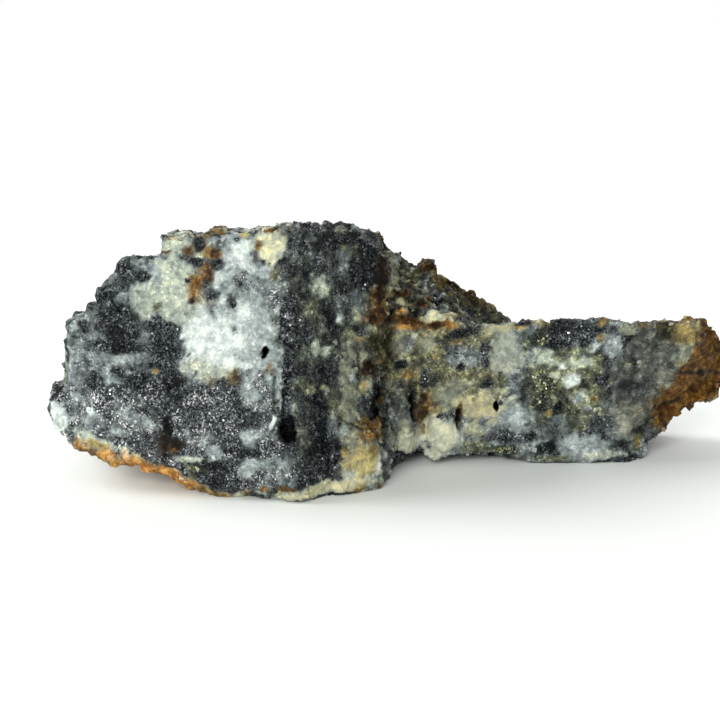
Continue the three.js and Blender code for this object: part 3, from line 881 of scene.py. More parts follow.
class GrainGroup:
    """The shader group of close-packed grains: chances and tilts that change from grain to grain."""

    NAME = "Packed grains"

    @classmethod
    def tree(cls) -> bpy.types.NodeTree:
        """The group, built the first time that it is asked for.

        Returns:
            The node tree. It takes Place, Size and Tilt and gives Chance, Glint, Third and Normal.
        """
        if cls.NAME in bpy.data.node_groups:
            return bpy.data.node_groups[cls.NAME]
        canvas, given = new_group(
            cls.NAME, "ShaderNodeTree", {"Place": "Vector", "Size": "Float", "Tilt": "Float"},
            {"Chance": "Float", "Glint": "Float", "Third": "Float", "Normal": "Vector"},
        )
        fineness = canvas.math("DIVIDE", 1.0, given["Size"])
        feeds = {"Vector": given["Place"], "Scale": fineness, "Randomness": 1.0}
        chances = canvas.put("ShaderNodeTexVoronoi", feeds, feature="F1").outputs["Color"]
        centred = canvas.vector("SUBTRACT", {0: chances, 1: (0.5, 0.5, 0.5)})
        tilted = canvas.vector("SCALE", {0: centred, "Scale": given["Tilt"]})
        upright = canvas.put("ShaderNodeNewGeometry").outputs["Normal"]
        normal = canvas.vector("NORMALIZE", {0: canvas.vector("ADD", {0: upright, 1: tilted})})
        parts = canvas.put("ShaderNodeSeparateColor", {0: chances}).outputs
        made = {"Chance": parts[0], "Glint": parts[1], "Third": parts[2], "Normal": normal}
        canvas.put("NodeGroupOutput", made)
        return canvas.tree

    @classmethod
    def place(cls, canvas: Canvas, where: Socket, size: float, tilt: float) -> Sockets:
        """Puts the group into a material, for grains of a size in millimetres with faces that tilt."""
        feeds = {"Place": where, "Size": size, "Tilt": tilt}
        return canvas.put("ShaderNodeGroup", feeds, node_tree=cls.tree()).outputs


@dataclass(frozen=True)
class Tint:
    """The colour of a stain or of the painted shade, and how a noise breaks it up."""

    stain: str
    colour: Colour  # at full strength
    noise: str
    swing: float  # how strongly the noise breaks it up
    strength: float = 1.0


class StainGroup:
    """The shader group that turns the amounts of quartz, stains and painted shade at a place into one
    colour.
    """

    NAME = "Stained quartz"
    HAZES = (
        (0.0, (0.003, 0.0035, 0.0035)),
        (0.15, (0.0145, 0.0172, 0.0172)),
        (0.3, (0.052, 0.061, 0.061)),
        (0.45, (0.13, 0.15, 0.149)),
        (0.6, (0.255, 0.294, 0.29)),
        (0.8, (0.48, 0.54, 0.52)),
        (1.0, (0.85, 0.9, 0.83)),
    )
    TINTS = (
        Tint("Cream", (1.0, 0.83, 0.38), "Blot", 1.6),
        Tint("Olive", (0.9, 0.93, 0.38), "Blot", 2.4),
        Tint("Rust", (1.0, 0.5, 0.15), "Fleck", -1.6),
        Tint("Rust", (0.55, 0.36, 0.25), "Blot", -6.0, strength=0.2),  # darker blots in the rust
        Tint("Umber", (0.4, 0.2, 0.07), "Blot", -2.2),
        # Painted shade: near black in pits, grooves and clefts.
        Tint("Painted_shade", (0.05, 0.05, 0.055), "Fleck", 1.2),
    )
    # The stains, and the painted shade last.
    STAINS_AND_SHADE = ("Cream", "Olive", "Rust", "Umber", "Painted_shade")

    @classmethod
    def tree(cls) -> bpy.types.NodeTree:
        """The group, built the first time that it is asked for.

        Returns:
            The node tree. It takes White, Blot, Fleck and the names in STAINS_AND_SHADE and gives Color.
        """
        if cls.NAME in bpy.data.node_groups:
            return bpy.data.node_groups[cls.NAME]
        entries = dict.fromkeys(("White", "Blot", "Fleck", *cls.STAINS_AND_SHADE), "Float")
        canvas, given = new_group(cls.NAME, "ShaderNodeTree", entries, {"Color": "Color"})
        colour = canvas.scale_of_colours(given["White"], cls.HAZES)
        for tint in cls.TINTS:
            strength = canvas.vary(tint.strength, (given[tint.noise], tint.swing))
            share = canvas.math("MULTIPLY", given[tint.stain], strength, clamp=True)
            colour = canvas.mix(share, colour, (*tint.colour, 1.0), blend="MULTIPLY")
        canvas.put("NodeGroupOutput", {"Color": colour})
        return canvas.tree

    @classmethod
    def place(cls, canvas: Canvas, white: Socket, blot: Socket, fleck: Socket) -> Socket:
        """Puts the group into a material, with the stains and the painted shade read from the surface.

        Args:
            canvas: the material's canvas.
            white: how milky the quartz is.
            blot: noise from 0 to 1 that breaks up the stains in blots.
            fleck: the same, finer.

        Returns:
            The colour's socket.
        """
        feeds = {"White": white, "Blot": blot, "Fleck": fleck}
        feeds.update((name, canvas.amount(name.lower())) for name in cls.STAINS_AND_SHADE)
        return canvas.put("ShaderNodeGroup", feeds, node_tree=cls.tree()).outputs["Color"]


# ---- Finishes ---------------------------------------------------------------------------------------
def new_material(name: str) -> tuple[bpy.types.Material, Canvas, bpy.types.Node, Socket]:
    """An empty material with its shader.

    Args:
        name: the material's name.

    Returns:
        The material, its canvas, its shader node and the position in millimetres.
    """
    material = bpy.data.materials.new(name)
    material.use_nodes = True
    canvas = Canvas(material.node_tree)
    place = canvas.put("ShaderNodeTexCoord").outputs["Object"]
    scaled = canvas.vector("SCALE", {0: place, "Scale": 1 / MM})
    return material, canvas, material.node_tree.nodes["Principled BSDF"], scaled


@dataclass(frozen=True)
class Film:
    """A stain, or the painted shade, that darkens metal faces."""

    stain: str
    start: float  # amount of the stain where the film starts to show
    colour: Colour

    def over(self, canvas: Canvas, metal: Socket) -> Socket:
        """The colour of the metal with the film over it."""
        share = canvas.step(canvas.amount(self.stain), self.start, 0.9)
        return canvas.mix(share, metal, (*self.colour, 1), "MULTIPLY")


UMBER_FILM = Film("umber", 0.1, (0.5, 0.3, 0.16))
OLIVE_FILM = Film("olive", 0.2, (0.85, 0.85, 0.5))
# Painted shade over the metal in pits and clefts.
PAINTED_SHADE_FILM = Film("painted_shade", 0.2, (0.12, 0.12, 0.12))


@dataclass(frozen=True)
class StoneFinish:
    """Ore grains in stained quartz, as the stone's broken faces show them."""

    grain: float = 0.27  # width of an ore grain, mm
    crystal: float = 1.3  # width of a quartz crystal, mm
    speck: float = 0.42  # width of a white or golden speck, mm
    # Painted glints: each ore grain is coloured from black to near white, for light that its faces catch or
    # miss.
    painted_glints: Stops = (
        (0.0, (0.003, 0.0035, 0.004)),
        (0.3, (0.012, 0.0135, 0.015)),
        (0.5, (0.048, 0.056, 0.062)),
        (0.7, (0.14, 0.155, 0.165)),
        (0.87, (0.33, 0.34, 0.35)),
        (1.0, (0.75, 0.73, 0.73)),
    )
    brass: Stops = ((0.0, (0.09, 0.09, 0.035)), (0.6, (0.32, 0.32, 0.15)), (1.0, (0.85, 0.84, 0.58)))

    def build(self) -> bpy.types.Material:
        """Builds the material.

        Returns:
            The material.
        """
        material, canvas, shader, place = new_material("ore_in_quartz")
        blot = canvas.cloud(place, 3.4, 6, 0.62)
        fine = canvas.cloud(place, 0.8, 5, 0.7)
        patch = canvas.cloud(place, 2.0, 6, 0.65)
        streak = canvas.cloud(place, 1.9, 6, 0.6, "RIDGED_MULTIFRACTAL")
        grains = GrainGroup.place(canvas, place, self.grain, 0.9)
        crystals = GrainGroup.place(canvas, place, self.crystal, 0.4)
        specks = GrainGroup.place(canvas, place, self.speck, 0.5)

        # Where the ore is: its amount, broken up by clouds, and single grains along its border.
        amount = canvas.amount("ore")
        uneven = canvas.vary(0.0, (blot, 1.2), (fine, 1.3))
        spread = canvas.math("ADD", 0.3, canvas.math("MULTIPLY", canvas.step(amount, 0.0, 0.25), 0.7))
        density = canvas.math("ADD", amount, canvas.math("MULTIPLY", uneven, spread))
        shade = canvas.step(density, 0.18, 0.85)
        ore = canvas.step(canvas.vary(density, (grains["Chance"], 0.6)), 0.5, 0.66)

        # Quartz: milkier where it is crushed and flecked, darker where ore lies under it.
        flecks = canvas.step(canvas.vary(specks["Third"], (patch, 1.6), (fine, 1.2)), 0.86, 0.95)
        crush = canvas.vary(0.1, (fine, 1.3), (streak, 0.4), (flecks, 0.25), (patch, 0.6))
        milk = canvas.vary(canvas.amount("white"), (blot, 0.35), (patch, 0.35), (crystals["Chance"], 0.14))
        milk = canvas.math("ADD", milk, canvas.math("MULTIPLY", crush, canvas.amount("grit")))
        dimming = canvas.math("SUBTRACT", 1.0, canvas.math("MULTIPLY", shade, 0.72))
        quartz = StainGroup.place(canvas, canvas.math("MULTIPLY", milk, dimming), patch, fine)

        # Metal: each grain with its own painted glint under films of stain and of painted shade, and brassy
        # specks in the olive parts.
        sparkle = canvas.amount("sparkle")
        brightness = canvas.vary(0.5, (grains["Glint"], 0.7), (sparkle, 0.55), (patch, 1.0), (fine, 0.8))
        metal = canvas.scale_of_colours(brightness, self.painted_glints)
        for film in (UMBER_FILM, OLIVE_FILM, PAINTED_SHADE_FILM):
            metal = film.over(canvas, metal)
        golden = canvas.vary(specks["Chance"], (canvas.amount("olive"), 0.9), (patch, 1.6))
        gold = canvas.step(golden, 0.95, 1.0)
        brass = canvas.scale_of_colours(specks["Glint"], self.brass)

        canvas.feed(shader.inputs["Base Color"], canvas.mix(gold, canvas.mix(ore, quartz, metal), brass))
        canvas.feed(shader.inputs["Metallic"], canvas.math("MULTIPLY", ore, 0.9))
        dull = canvas.vary(0.46, (grains["Third"], 0.25), (fine, 0.5))
        polish = canvas.math("MULTIPLY", ore, -0.08)
        canvas.feed(shader.inputs["Roughness"], canvas.math("ADD", dull, polish))
        shader.inputs["IOR"].default_value = 1.25

        facets = canvas.put(
            "ShaderNodeMix", {"Factor": ore, 4: crystals["Normal"], 5: grains["Normal"]}, data_type="VECTOR"
        )
        bumps = canvas.vary(fine, (grains["Third"], 0.4), (streak, 0.15))
        bump = canvas.put(
            "ShaderNodeBump",
            {"Strength": 0.7, "Distance": 0.3 * MM, "Height": bumps, "Normal": facets.outputs[1]},
        )
        canvas.feed(shader.inputs["Normal"], bump.outputs["Normal"])
        return material


@dataclass(frozen=True)
class CrystalFinish:
    """Metallic cleavage faces of single ore crystals, with painted glints: each crystal coloured bright or
    dark.
    """

    # Painted glints: each crystal is coloured from black to near white.
    painted_glints: Stops = (
        (0.0, (0.006, 0.0065, 0.008)),
        (0.5, (0.03, 0.032, 0.037)),
        (0.75, (0.12, 0.12, 0.13)),
        (0.9, (0.33, 0.32, 0.33)),
        (1.0, (0.75, 0.73, 0.73)),
    )

    def build(self) -> bpy.types.Material:
        """Builds the material.

        Returns:
            The material.
        """
        material, canvas, shader, place = new_material("ore_crystal")
        fine = canvas.cloud(place, 0.35, 3, 0.6)
        brightness = canvas.vary(canvas.amount("chance"), (canvas.amount("sparkle"), 0.7), (fine, 0.25))
        metal = canvas.scale_of_colours(brightness, self.painted_glints)
        for film in (UMBER_FILM, PAINTED_SHADE_FILM):
            metal = film.over(canvas, metal)
        canvas.feed(shader.inputs["Base Color"], metal)
        shader.inputs["Metallic"].default_value = 0.9
        canvas.feed(shader.inputs["Roughness"], canvas.vary(0.34, (fine, 0.3)))
        return material


@dataclass(frozen=True)
class QuartzFinish:
    """Glassy chips of quartz, stained like the stone that they stand on."""

    def build(self) -> bpy.types.Material:
        """Builds the material.

        Returns:
            The material.
        """
        material, canvas, shader, place = new_material("quartz_chip")
        fine = canvas.cloud(place, 0.9, 4, 0.65)
        patch = canvas.cloud(place, 2.0, 5, 0.65)
        milk = canvas.vary(canvas.amount("white"), (canvas.amount("chance"), 0.16), (fine, 0.6))
        canvas.feed(shader.inputs["Base Color"], StainGroup.place(canvas, milk, patch, fine))
        canvas.feed(shader.inputs["Roughness"], canvas.vary(0.3, (fine, 0.25)))
        shader.inputs["IOR"].default_value = 1.54
        return material


@dataclass(frozen=True)
class GoldenFinish:
    """Brassy sulphide grains with a greenish tarnish."""

    brass: Stops = ((0.0, (0.12, 0.12, 0.035)), (0.5, (0.4, 0.37, 0.12)), (1.0, (0.85, 0.8, 0.42)))

    def build(self) -> bpy.types.Material:
        """Builds the material.

        Returns:
            The material.
        """
        material, canvas, shader, place = new_material("golden_sulphide")
        tarnish = canvas.vary(canvas.amount("chance"), (canvas.cloud(place, 0.5, 3, 0.6), 0.6))
        canvas.feed(shader.inputs["Base Color"], canvas.scale_of_colours(tarnish, self.brass))
        shader.inputs["Metallic"].default_value = 0.8
        canvas.feed(shader.inputs["Roughness"], canvas.vary(0.35, (tarnish, 0.2)))
        return material


# ---- The stone --------------------------------------------------------------------------------------
def link(name: str, data: bpy.types.ID) -> bpy.types.Object:
    """Shows a mesh, a light or a camera in the scene.

    Args:
        name: the object's name.
        data: what it shows.

    Returns:
        The new object.
    """
    made = bpy.data.objects.new(name, data)
    bpy.context.scene.collection.objects.link(made)
    return made


def baked(made: bpy.types.Object) -> bpy.types.Mesh:
    """The plain mesh that an object's modifiers give, after which the object is removed.

    Args:
        made: an object with live modifiers.

    Returns:
        The mesh.
    """
    bpy.context.view_layer.update()
    graph = bpy.context.evaluated_depsgraph_get()
    shown = made.evaluated_get(graph)
    mesh = bpy.data.meshes.new_from_object(shown, preserve_all_data_layers=True, depsgraph=graph)
    bpy.data.objects.remove(made)
    return mesh


@dataclass
class Stone:
    """The stone's skin: a fine mesh over the solid, with relief and mineral amounts at its points."""

    voxel: float = 0.57  # width of the skin's mesh, mm
    flat_chips: tuple[float, float] = (0.22, 0.16)  # relief of large and small chips on flat faces, mm
    rough_chips: tuple[float, float] = (0.75, 0.38)  # the same on the rough sides
    chip_widths: tuple[float, float] = (3.4, 1.5)
    lump_width: float = 4.2  # of the rubble on the shoulder
    wander: float = 5.0  # how far the patches stray where the stone turns away from the front, mm
    fibre_lean: float = 22.0  # rise of the fibres at the tip, degrees
    noise: StoneNoise = StoneNoise(seed=11)

    # Soft steps along the stone's length, and up it where the name says so.
    CREASE = ((64, 67), (78, 84))
    SHOULDER_SPAN = ((66, 72), (98, 104))
    RUBBLE = ((66, 71), (99, 103))
    LEDGE = ((68.5, 70.5), (99, 103))
    LEFT_END_UP = ((16, 20), (26, 31))
    FACING = (0.55, 0.9)  # how squarely a flat face looks to the front

    def skin(self) -> bpy.types.Mesh:
        """The solid's surface as an even, fine mesh.

        Returns:
            The new mesh.
        """
        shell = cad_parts[NODE].data.copy()
        work = bmesh.new()
        work.from_mesh(shell)
        bmesh.ops.remove_doubles(work, verts=work.verts, dist=0.01 * MM)
        work.to_mesh(shell)
        work.free()
        host = link("stone_host", shell)
        even = host.modifiers.new("even", "REMESH")
        even.mode = "VOXEL"
        even.voxel_size = self.voxel * MM * 1
        return baked(host)

    def refine(self, mesh: bpy.types.Mesh) -> None:
        """Divides the skin's faces around the sharp dents.

        Args:
            mesh: the skin.
        """
        work = bmesh.new()
        work.from_mesh(mesh)
        spots = [((CAD_BOX[0].x + dent.along * MM, dent.up * MM), dent.finer_reach * MM)
                 for dent in DENTS if dent.sharp]
        close = []
        for edge in work.edges:
            corner = edge.verts[0]
            facing = corner.co.y < 0 and corner.normal.y < -0.3
            if facing and any(math.dist((corner.co.x, corner.co.z), spot) < reach for spot, reach in spots):
                close.append(edge)
        bmesh.ops.subdivide_edges(work, edges=close, cuts=3, use_grid_fill=True)
        work.to_mesh(mesh)
        work.free()

    def surroundings(self, mesh: bpy.types.Mesh) -> tuple[np.ndarray, np.ndarray]:
        """The mesh's points and normals.

        Args:
            mesh: the skin.

        Returns:
            Points in millimetres from the stone's left end, middle and base, and unit normals.
        """
        count = len(mesh.vertices)
        points, normals = np.empty(count * 3), np.empty(count * 3)
        mesh.vertices.foreach_get("co", points)
        mesh.vertex_normals.foreach_get("vector", normals)
        points = points.reshape(-1, 3) / MM
        points[:, 0] -= CAD_BOX[0].x / MM
        return points, normals.reshape(-1, 3)

    def frontness(self, points: np.ndarray) -> np.ndarray:
        """Which points belong to the front, 1, and which to the sides behind it, 0.

        Args:
            points: places from the left end and the base.

        Returns:
            One number from 0 to 1 for each point.
        """
        along, depth, up = points.T
        lower = 5 * ramp(along, 84, 91)  # the shoulder comes down to the right
        shoulder = between(along, *self.SHOULDER_SPAN) * ramp(up + lower, 26, 31)
        limit = -12 + 10 * ramp(along, 62, 68) + 50 * ramp(along, 122, 134) + 32 * shoulder
        limit += 30 * (1 - ramp(along, 5, 9)) * (1 - ramp(up, 28, 34))
        return 1 - ramp(depth + 1.5 * self.noise.clouds(points, 9.0) - limit, 0, 7)

    def ledge(self, points: np.ndarray) -> np.ndarray:
        """Which points belong to the ledge that steps down behind the arm's top edge.

        Args:
            points: places from the left end and the base.

        Returns:
            One number from 0 to 1 for each point.
        """
        along, depth, up = points.T
        corner = (1 - ramp(along, 75, 77)) * ramp(up, 29.2, 29.9)
        behind = np.maximum(ramp(depth, -8, -5), np.maximum(ramp(up, 32, 33), corner))
        return behind * between(along, *self.LEDGE)

    def amounts(self, points: np.ndarray, normals: np.ndarray, warp: np.ndarray) -> np.ndarray:
        """The mineral amounts at each point.

        Args:
            points: places from the left end and the base.
            normals: unit normals.
            warp: three columns of noise that make borders uneven.

        Returns:
            One row for each point, with the columns of AMOUNTS.
        """
        wide, banks = self.noise.clouds(points, 17.0, 3), self.noise.clouds(points + 50, 8.0, 4)
        stain = self.noise.clouds(points + 90, 12.0, 4)
        sides = np.tile(Mineral.BLUE_GREY.amounts, (len(points), 1))
        for share, mineral in (
            (ramp(wide + 0.4 * banks, 0.0, 0.35), Mineral.ORE),
            (ramp(-wide + 0.5 * banks, 0.25, 0.6), Mineral.PALE_ICE),
            (ramp(banks - 0.3 * wide, 0.45, 0.7), Mineral.DARK_OLIVE),
            (ramp(stain, 0.42, 0.62) * ramp(points[:, 0], 3, 9), Mineral.OCHRE),
            (ramp(-stain + 0.3 * banks, 0.5, 0.75), Mineral.TAN_BROWN),
        ):
            sides = laid_over(sides, mineral.amounts, share)
        stray = self.wander * (1 - ramp(-normals[:, 1] - 0.3 * normals[:, 2], 0.15, 0.5))
        stray *= 1 - 0.6 * between(points[:, 0], *self.SHOULDER_SPAN)
        along = points[:, 0] + stray * self.noise.clouds(points + 20, 4.5, 3)
        up = points[:, 2] + stray * self.noise.clouds(points + 70, 4.5, 3)
        front = sides
        for patches, limit in ((FRONT, 1.0), (SHOULDER, self.ledge(points))):
            for patch in patches:
                front = laid_over(front, patch.mineral.amounts, patch.cover(along, up, warp) * limit)
        return laid_over(sides, front, self.frontness(points))

    def relief(self, points: np.ndarray, normals: np.ndarray, warp: np.ndarray,
               tones: np.ndarray) -> tuple[np.ndarray, np.ndarray]:
        """How far each point moves out along its normal, and how deep in a cleft it lies.

        Args:
            points: places from the left end and the base.
            normals: unit normals.
            warp: three columns of noise that make rims uneven.
            tones: mineral amounts at each point.

        Returns:
            One height in millimetres for each point, and one number from 0 to 1 for its cleft.
        """
        along, _, up = points.T
        near = self.frontness(points)
        flat = near * ramp(-normals[:, 1], *self.FACING)
        flat *= 1 - 0.5 * between(along, *self.CREASE) * (1 - ramp(up, 28, 33))

        # Chips all over, smaller on the flat front, and low swells.
        large, cleft = self.noise.chips(points + 0.8 * warp[:, [0, 1, 0]], self.chip_widths[0])
        small, _ = self.noise.chips(points, self.chip_widths[1])
        big, little = (rough + flat * (even - rough)
                       for rough, even in zip(self.rough_chips, self.flat_chips))
        grain = 0.6 + 0.6 * tones[:, AMOUNTS.index("ore")]
        height = big * (large - 0.4 * cleft) + little * small * grain
        height += (0.5 - 0.25 * flat) * self.noise.clouds(points, 6.0, 3)
        height += 0.12 * self.noise.clouds(points + 30, 1.3, 2)
        for dent in DENTS:
            height -= near * dent.depths(along, up, warp)

        # Rubble on the shoulder, splinters at the tip, and the left end cut back.
        lumps, gaps = self.noise.chips(points + 1.2 * warp[:, [1, 0, 1]], self.lump_width)
        rubble = between(along, *self.RUBBLE) * ramp(up, 29, 31)
        height += rubble * (0.9 * lumps - 0.7 * gaps)
        height += self.splinters(points, warp) * near * ramp(-normals[:, 1], 0.3, 0.7)
        height -= 1.5 * (1 - ramp(along, 1.5, 6)) * between(up, *self.LEFT_END_UP)
        resting = ramp(-normals[:, 2], 0.8, 0.95) * (1 - ramp(up, 0.3, 1.0))
        return height * (1 - resting), np.maximum((1 - flat) * cleft, rubble * gaps)

    def splinters(self, points: np.ndarray, warp: np.ndarray) -> np.ndarray:
        """The step down behind the arm's jagged last edge, and the long fibres beyond it.

        Args:
            points: places from the left end and the base.
            warp: three columns of noise that make the edge jagged.

        Returns:
            One height in millimetres for each point.
        """
        lean = math.radians(self.fibre_lean)
        along, depth, up = points.T
        ahead = along * math.cos(lean) + up * math.sin(lean)
        across = up * math.cos(lean) - along * math.sin(lean)
        edge = 131.3 + np.where(up > 21, 0.28, 0.74) * (up - 21)  # steeper in its upper part
        beyond = ramp(along - edge + 1.8 * warp[:, 2] + 1.4 * warp[:, 0], -0.5, 0.5)
        fibres = self.noise.clouds(np.stack([ahead / 5, depth / 2, across], axis=1), 1.7, 3)
        return beyond * (0.5 * fibres - 1.2)

    def store(self, mesh: bpy.types.Mesh, points: np.ndarray, normals: np.ndarray,
              tones: np.ndarray) -> None:
        """Writes the amounts and the crusts' covers to the mesh.

        Args:
            mesh: the skin.
            points: places from the left end and the base.
            normals: unit normals.
            tones: mineral amounts at each point.
        """
        values = {name: tones[:, column] for column, name in enumerate(AMOUNTS)}
        clear = ramp(points[:, 2], 0.9, 1.4) * (1 - ramp(values["painted_shade"], 0.3, 0.6))
        stains = np.maximum(values["rust"], values["umber"])
        rough = 1 - 0.85 * self.frontness(points) * ramp(-normals[:, 1], *self.FACING)
        values["ore_cover"] = clear * ramp(values["ore"], 0.35, 0.8) * (1 - 0.7 * ramp(stains, 0.3, 0.7))
        values["quartz_cover"] = clear * rough * (1 - ramp(values["ore"], 0.25, 0.6))
        values["golden_cover"] = clear * ramp(values["olive"], 0.3, 0.8)
        for name, value in values.items():
            layer = mesh.attributes.new(name, "FLOAT", "POINT")
            layer.data.foreach_set("value", value.astype(np.float32))

    def build(self, material: bpy.types.Material) -> bpy.types.Object:
        """Builds the finished stone.

        Args:
            material: the stone's finish.

        Returns:
            The stone, with the attributes of AMOUNTS and the three covers on its points.
        """
        mesh = self.skin()
        self.refine(mesh)
        points, normals = self.surroundings(mesh)
        warp = np.stack([self.noise.clouds(points + shift, size, 5, 0.65)
                         for shift, size in ((0, 6.5), (40, 6.5), (60, 2.4))], axis=1)
        tones = self.amounts(points, normals, warp)
        ore, painted_shade = (tones[:, AMOUNTS.index(name)] for name in ("ore", "painted_shade"))
        clusters = self.noise.clouds(points + 70, 3.6, 4, 0.65)
        ore[:] = np.clip(ore + 0.45 * (1 - np.abs(2 * ore - 1)) * clusters, 0, 1)
        height, clefts = self.relief(points, normals, warp, tones)
        # Painted shade: the clefts between chips are darkened in the colour.
        painted_shade[:] = np.maximum(painted_shade, 0.6 * clefts)
        moved = points + normals * height[:, None]
        moved[:, 2] = np.maximum(moved[:, 2], 0)
        placed = moved * MM
        placed[:, 0] += CAD_BOX[0].x
        mesh.vertices.foreach_set("co", placed.ravel())
        self.store(mesh, points, normals, tones)
        mesh.materials.clear()
        mesh.materials.append(material)
        mesh.polygons.foreach_set("use_smooth", np.zeros(len(mesh.polygons), bool))
        mesh.update()
        return link("stone", mesh)


@dataclass
class Crust:
    """Small cubic grains of one kind, scattered where an attribute of the stone says."""

    name: str
    cover: str  # attribute that says where they stand
    size: tuple[float, float]  # smallest and largest width, mm
    spacing: float  # least distance between two grains, mm
    crowd: float  # grains to a square millimetre where the cover is full
    sink: float  # depth of a grain's middle below the surface, mm
    seed: int

    def tree(self) -> bpy.types.NodeTree:
        """The scatter tree, with its sizes as named inputs.

        Returns:
            The geometry node tree.
        """
        sizes = dict.fromkeys(("Smallest", "Largest", "Spacing", "Crowd", "Sink"), "Float")
        canvas, given = new_group(
            f"Scatter {self.name}", "GeometryNodeTree",
            {"Geometry": "Geometry", **sizes, "Seed": "Int", "Finish": "Material"}, {"Geometry": "Geometry"},
        )
        cover = canvas.put("GeometryNodeInputNamedAttribute", {"Name": self.cover}, data_type="FLOAT")
        spots = canvas.put("GeometryNodeDistributePointsOnFaces", {
            "Mesh": given["Geometry"], "Distance Min": given["Spacing"], "Density Max": given["Crowd"],
            "Density Factor": cover.outputs[0], "Seed": given["Seed"],
        }, distribute_method="POISSON").outputs
        turns = canvas.put("FunctionNodeRandomValue", {
            1: (math.tau,) * 3, "Seed": given["Seed"],
        }, data_type="FLOAT_VECTOR")
        widths = canvas.put("FunctionNodeRandomValue", {
            0: given["Smallest"], 1: given["Largest"], "Seed": self.seed + 1,
        }, data_type="FLOAT_VECTOR")
        chance = canvas.put("FunctionNodeRandomValue", {"Seed": self.seed + 2}, data_type="FLOAT").outputs[1]
        inward = canvas.vector("SCALE", {0: spots["Normal"], "Scale": given["Sink"]})
        sunk = canvas.put("GeometryNodeSetPosition", {"Geometry": spots["Points"], "Offset": inward})
        grain = canvas.put("GeometryNodeMeshCube").outputs["Mesh"]
        copies = canvas.put("GeometryNodeInstanceOnPoints", {
            "Points": sunk.outputs[0], "Instance": grain,
            "Rotation": turns.outputs[0], "Scale": widths.outputs[0],
        })
        kept = canvas.put("GeometryNodeStoreNamedAttribute", {
            "Name": "chance", "Geometry": copies.outputs[0], "Value": chance,
        }, data_type="FLOAT", domain="INSTANCE")
        whole = canvas.put("GeometryNodeRealizeInstances", {"Geometry": kept.outputs[0]})
        dressed = canvas.put("GeometryNodeSetMaterial", {
            "Geometry": whole.outputs[0], "Material": given["Finish"],
        })
        canvas.put("NodeGroupOutput", {"Geometry": dressed.outputs[0]})
        return canvas.tree

    def build(self, stone: bpy.types.Object, material: bpy.types.Material) -> bpy.types.Object:
        """Scatters the grains over the stone.

        Args:
            stone: the finished stone.
            material: the grains' finish.

        Returns:
            The grains as one piece.
        """
        host = link(f"{self.name}_host", stone.data.copy())
        scatter = host.modifiers.new("scatter", "NODES")
        scatter.node_group = self.tree()
        sockets = {item.name: item.identifier for item in scatter.node_group.interface.items_tree
                   if item.in_out == "INPUT"}
        for name, value in (
            ("Smallest", self.size[0] * MM), ("Largest", self.size[1] * MM), ("Spacing", self.spacing * MM),
            ("Crowd", self.crowd / MM**2), ("Sink", -self.sink * MM),
            ("Seed", self.seed), ("Finish", material),
        ):
            scatter[sockets[name]] = value
        return link(self.name, baked(host))


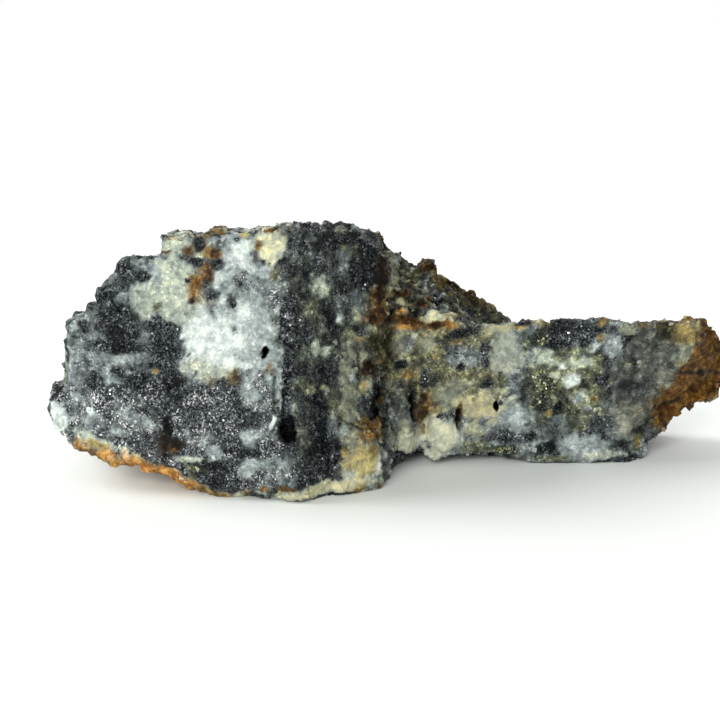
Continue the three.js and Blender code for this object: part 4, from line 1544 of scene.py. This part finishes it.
# ---- The studio -------------------------------------------------------------------------------------
@dataclass
class Studio:
    """A plain pale floor, soft light from the upper left and a camera a little above the stone."""

    focus: tuple[float, float, float] = (-7.2, -6.5, 21.0)  # mm, in the stone's frame
    distance: float = 279.0
    elevation: float = 14.0
    lens: float = 67.2
    aim: tuple[float, float, float] = (0.0, 0.0, 20.0)  # where the lamps look, mm
    floor_half: float = 12.0  # m

    def lay_floor(self) -> None:
        """Lays the floor."""
        half = self.floor_half
        corners = [(-half, -half, 0), (half, -half, 0), (half, half, 0), (-half, half, 0)]
        mesh = bpy.data.meshes.new("floor")
        mesh.from_pydata(corners, [], [(0, 1, 2, 3)])
        material = bpy.data.materials.new("pale_floor")
        material.use_nodes = True
        shader = material.node_tree.nodes["Principled BSDF"]
        shader.inputs["Base Color"].default_value = (0.88, 0.9, 0.87, 1)
        shader.inputs["Roughness"].default_value = 0.6
        mesh.materials.append(material)
        link("floor", mesh)

    def hang(self, name: str, strength: float, width: float, place: tuple[float, float, float]) -> None:
        """Hangs a lamp that looks at the stone.

        Args:
            name: the lamp's name.
            strength: how bright it is.
            width: how wide it looks from the stone, in degrees.
            place: where it hangs, in metres.
        """
        light = bpy.data.lights.new(name, "SUN")
        light.energy = strength
        light.angle = math.radians(width)
        lamp = link(name, light)
        lamp.location = place
        way = Vector(self.aim) * MM - Vector(place)
        lamp.rotation_euler = way.to_track_quat("-Z", "Y").to_euler()

    def surround(self) -> bpy.types.World:
        """A dim room with a white wall behind the stone.

        Returns:
            The world.
        """
        world = bpy.data.worlds.new("studio")
        world.use_nodes = True
        canvas = Canvas(world.node_tree)
        way = canvas.put("ShaderNodeTexCoord").outputs["Generated"]
        wall = canvas.step(canvas.put("ShaderNodeSeparateXYZ", {0: way}).outputs[1], 0.3, 0.8)
        backdrop = world.node_tree.nodes["Background"]
        canvas.feed(backdrop.inputs["Color"], canvas.mix(wall, (0.4, 0.42, 0.41, 1), (1, 1, 1, 1)))
        return world

    def build(self) -> None:
        """Sets the floor, the lights and the camera."""
        self.lay_floor()
        self.hang("window", 3.0, 40, (-0.6, 0.14, 0.42))
        self.hang("fill", 1.95, 30, (-0.2, -0.6, 0.36))
        scene = bpy.context.scene
        scene.world = self.surround()
        scene.view_settings.view_transform = "Standard"
        camera = link("camera", bpy.data.cameras.new("camera"))
        camera.data.lens = self.lens
        camera.data.clip_start = 0.01
        tilt = math.radians(self.elevation)
        away = Vector((0, -math.cos(tilt), math.sin(tilt))) * self.distance
        camera.location = (Vector(self.focus) + away) * MM
        camera.rotation_euler = (math.radians(90 - self.elevation), 0, 0)
        scene.camera = camera


def settle(piece: bpy.types.Object) -> None:
    """Fixes a finished piece to the stone's body and reports it.

    Args:
        piece: the finished piece.
    """
    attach(piece, BODY)
    triangles = sum(len(face.vertices) - 2 for face in piece.data.polygons)
    log.info("%s: %d triangles", piece.name, triangles)


ORE_CRYSTALS = Crust(
    "ore_crystals", "ore_cover", size=(0.18, 0.42), spacing=0.6, crowd=0.35, sink=0.05, seed=3
)
QUARTZ_CHIPS = Crust(
    "quartz_chips", "quartz_cover", size=(0.4, 1.1), spacing=1.0, crowd=0.15, sink=0.2, seed=5
)
GOLDEN_GRAINS = Crust(
    "golden_grains", "golden_cover", size=(0.2, 0.45), spacing=0.8, crowd=0.4, sink=0.08, seed=9
)


def main() -> None:
    """Builds the studio and the stone."""
    logging.basicConfig(level=logging.INFO, format="%(name)s: %(message)s")
    Studio().build()
    stone = Stone().build(StoneFinish().build())
    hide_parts(NODE)
    settle(stone)
    for crust, finish in (
        (ORE_CRYSTALS, CrystalFinish()), (QUARTZ_CHIPS, QuartzFinish()), (GOLDEN_GRAINS, GoldenFinish()),
    ):
        settle(crust.build(stone, finish.build()))


if __name__ == "__main__":
    main()
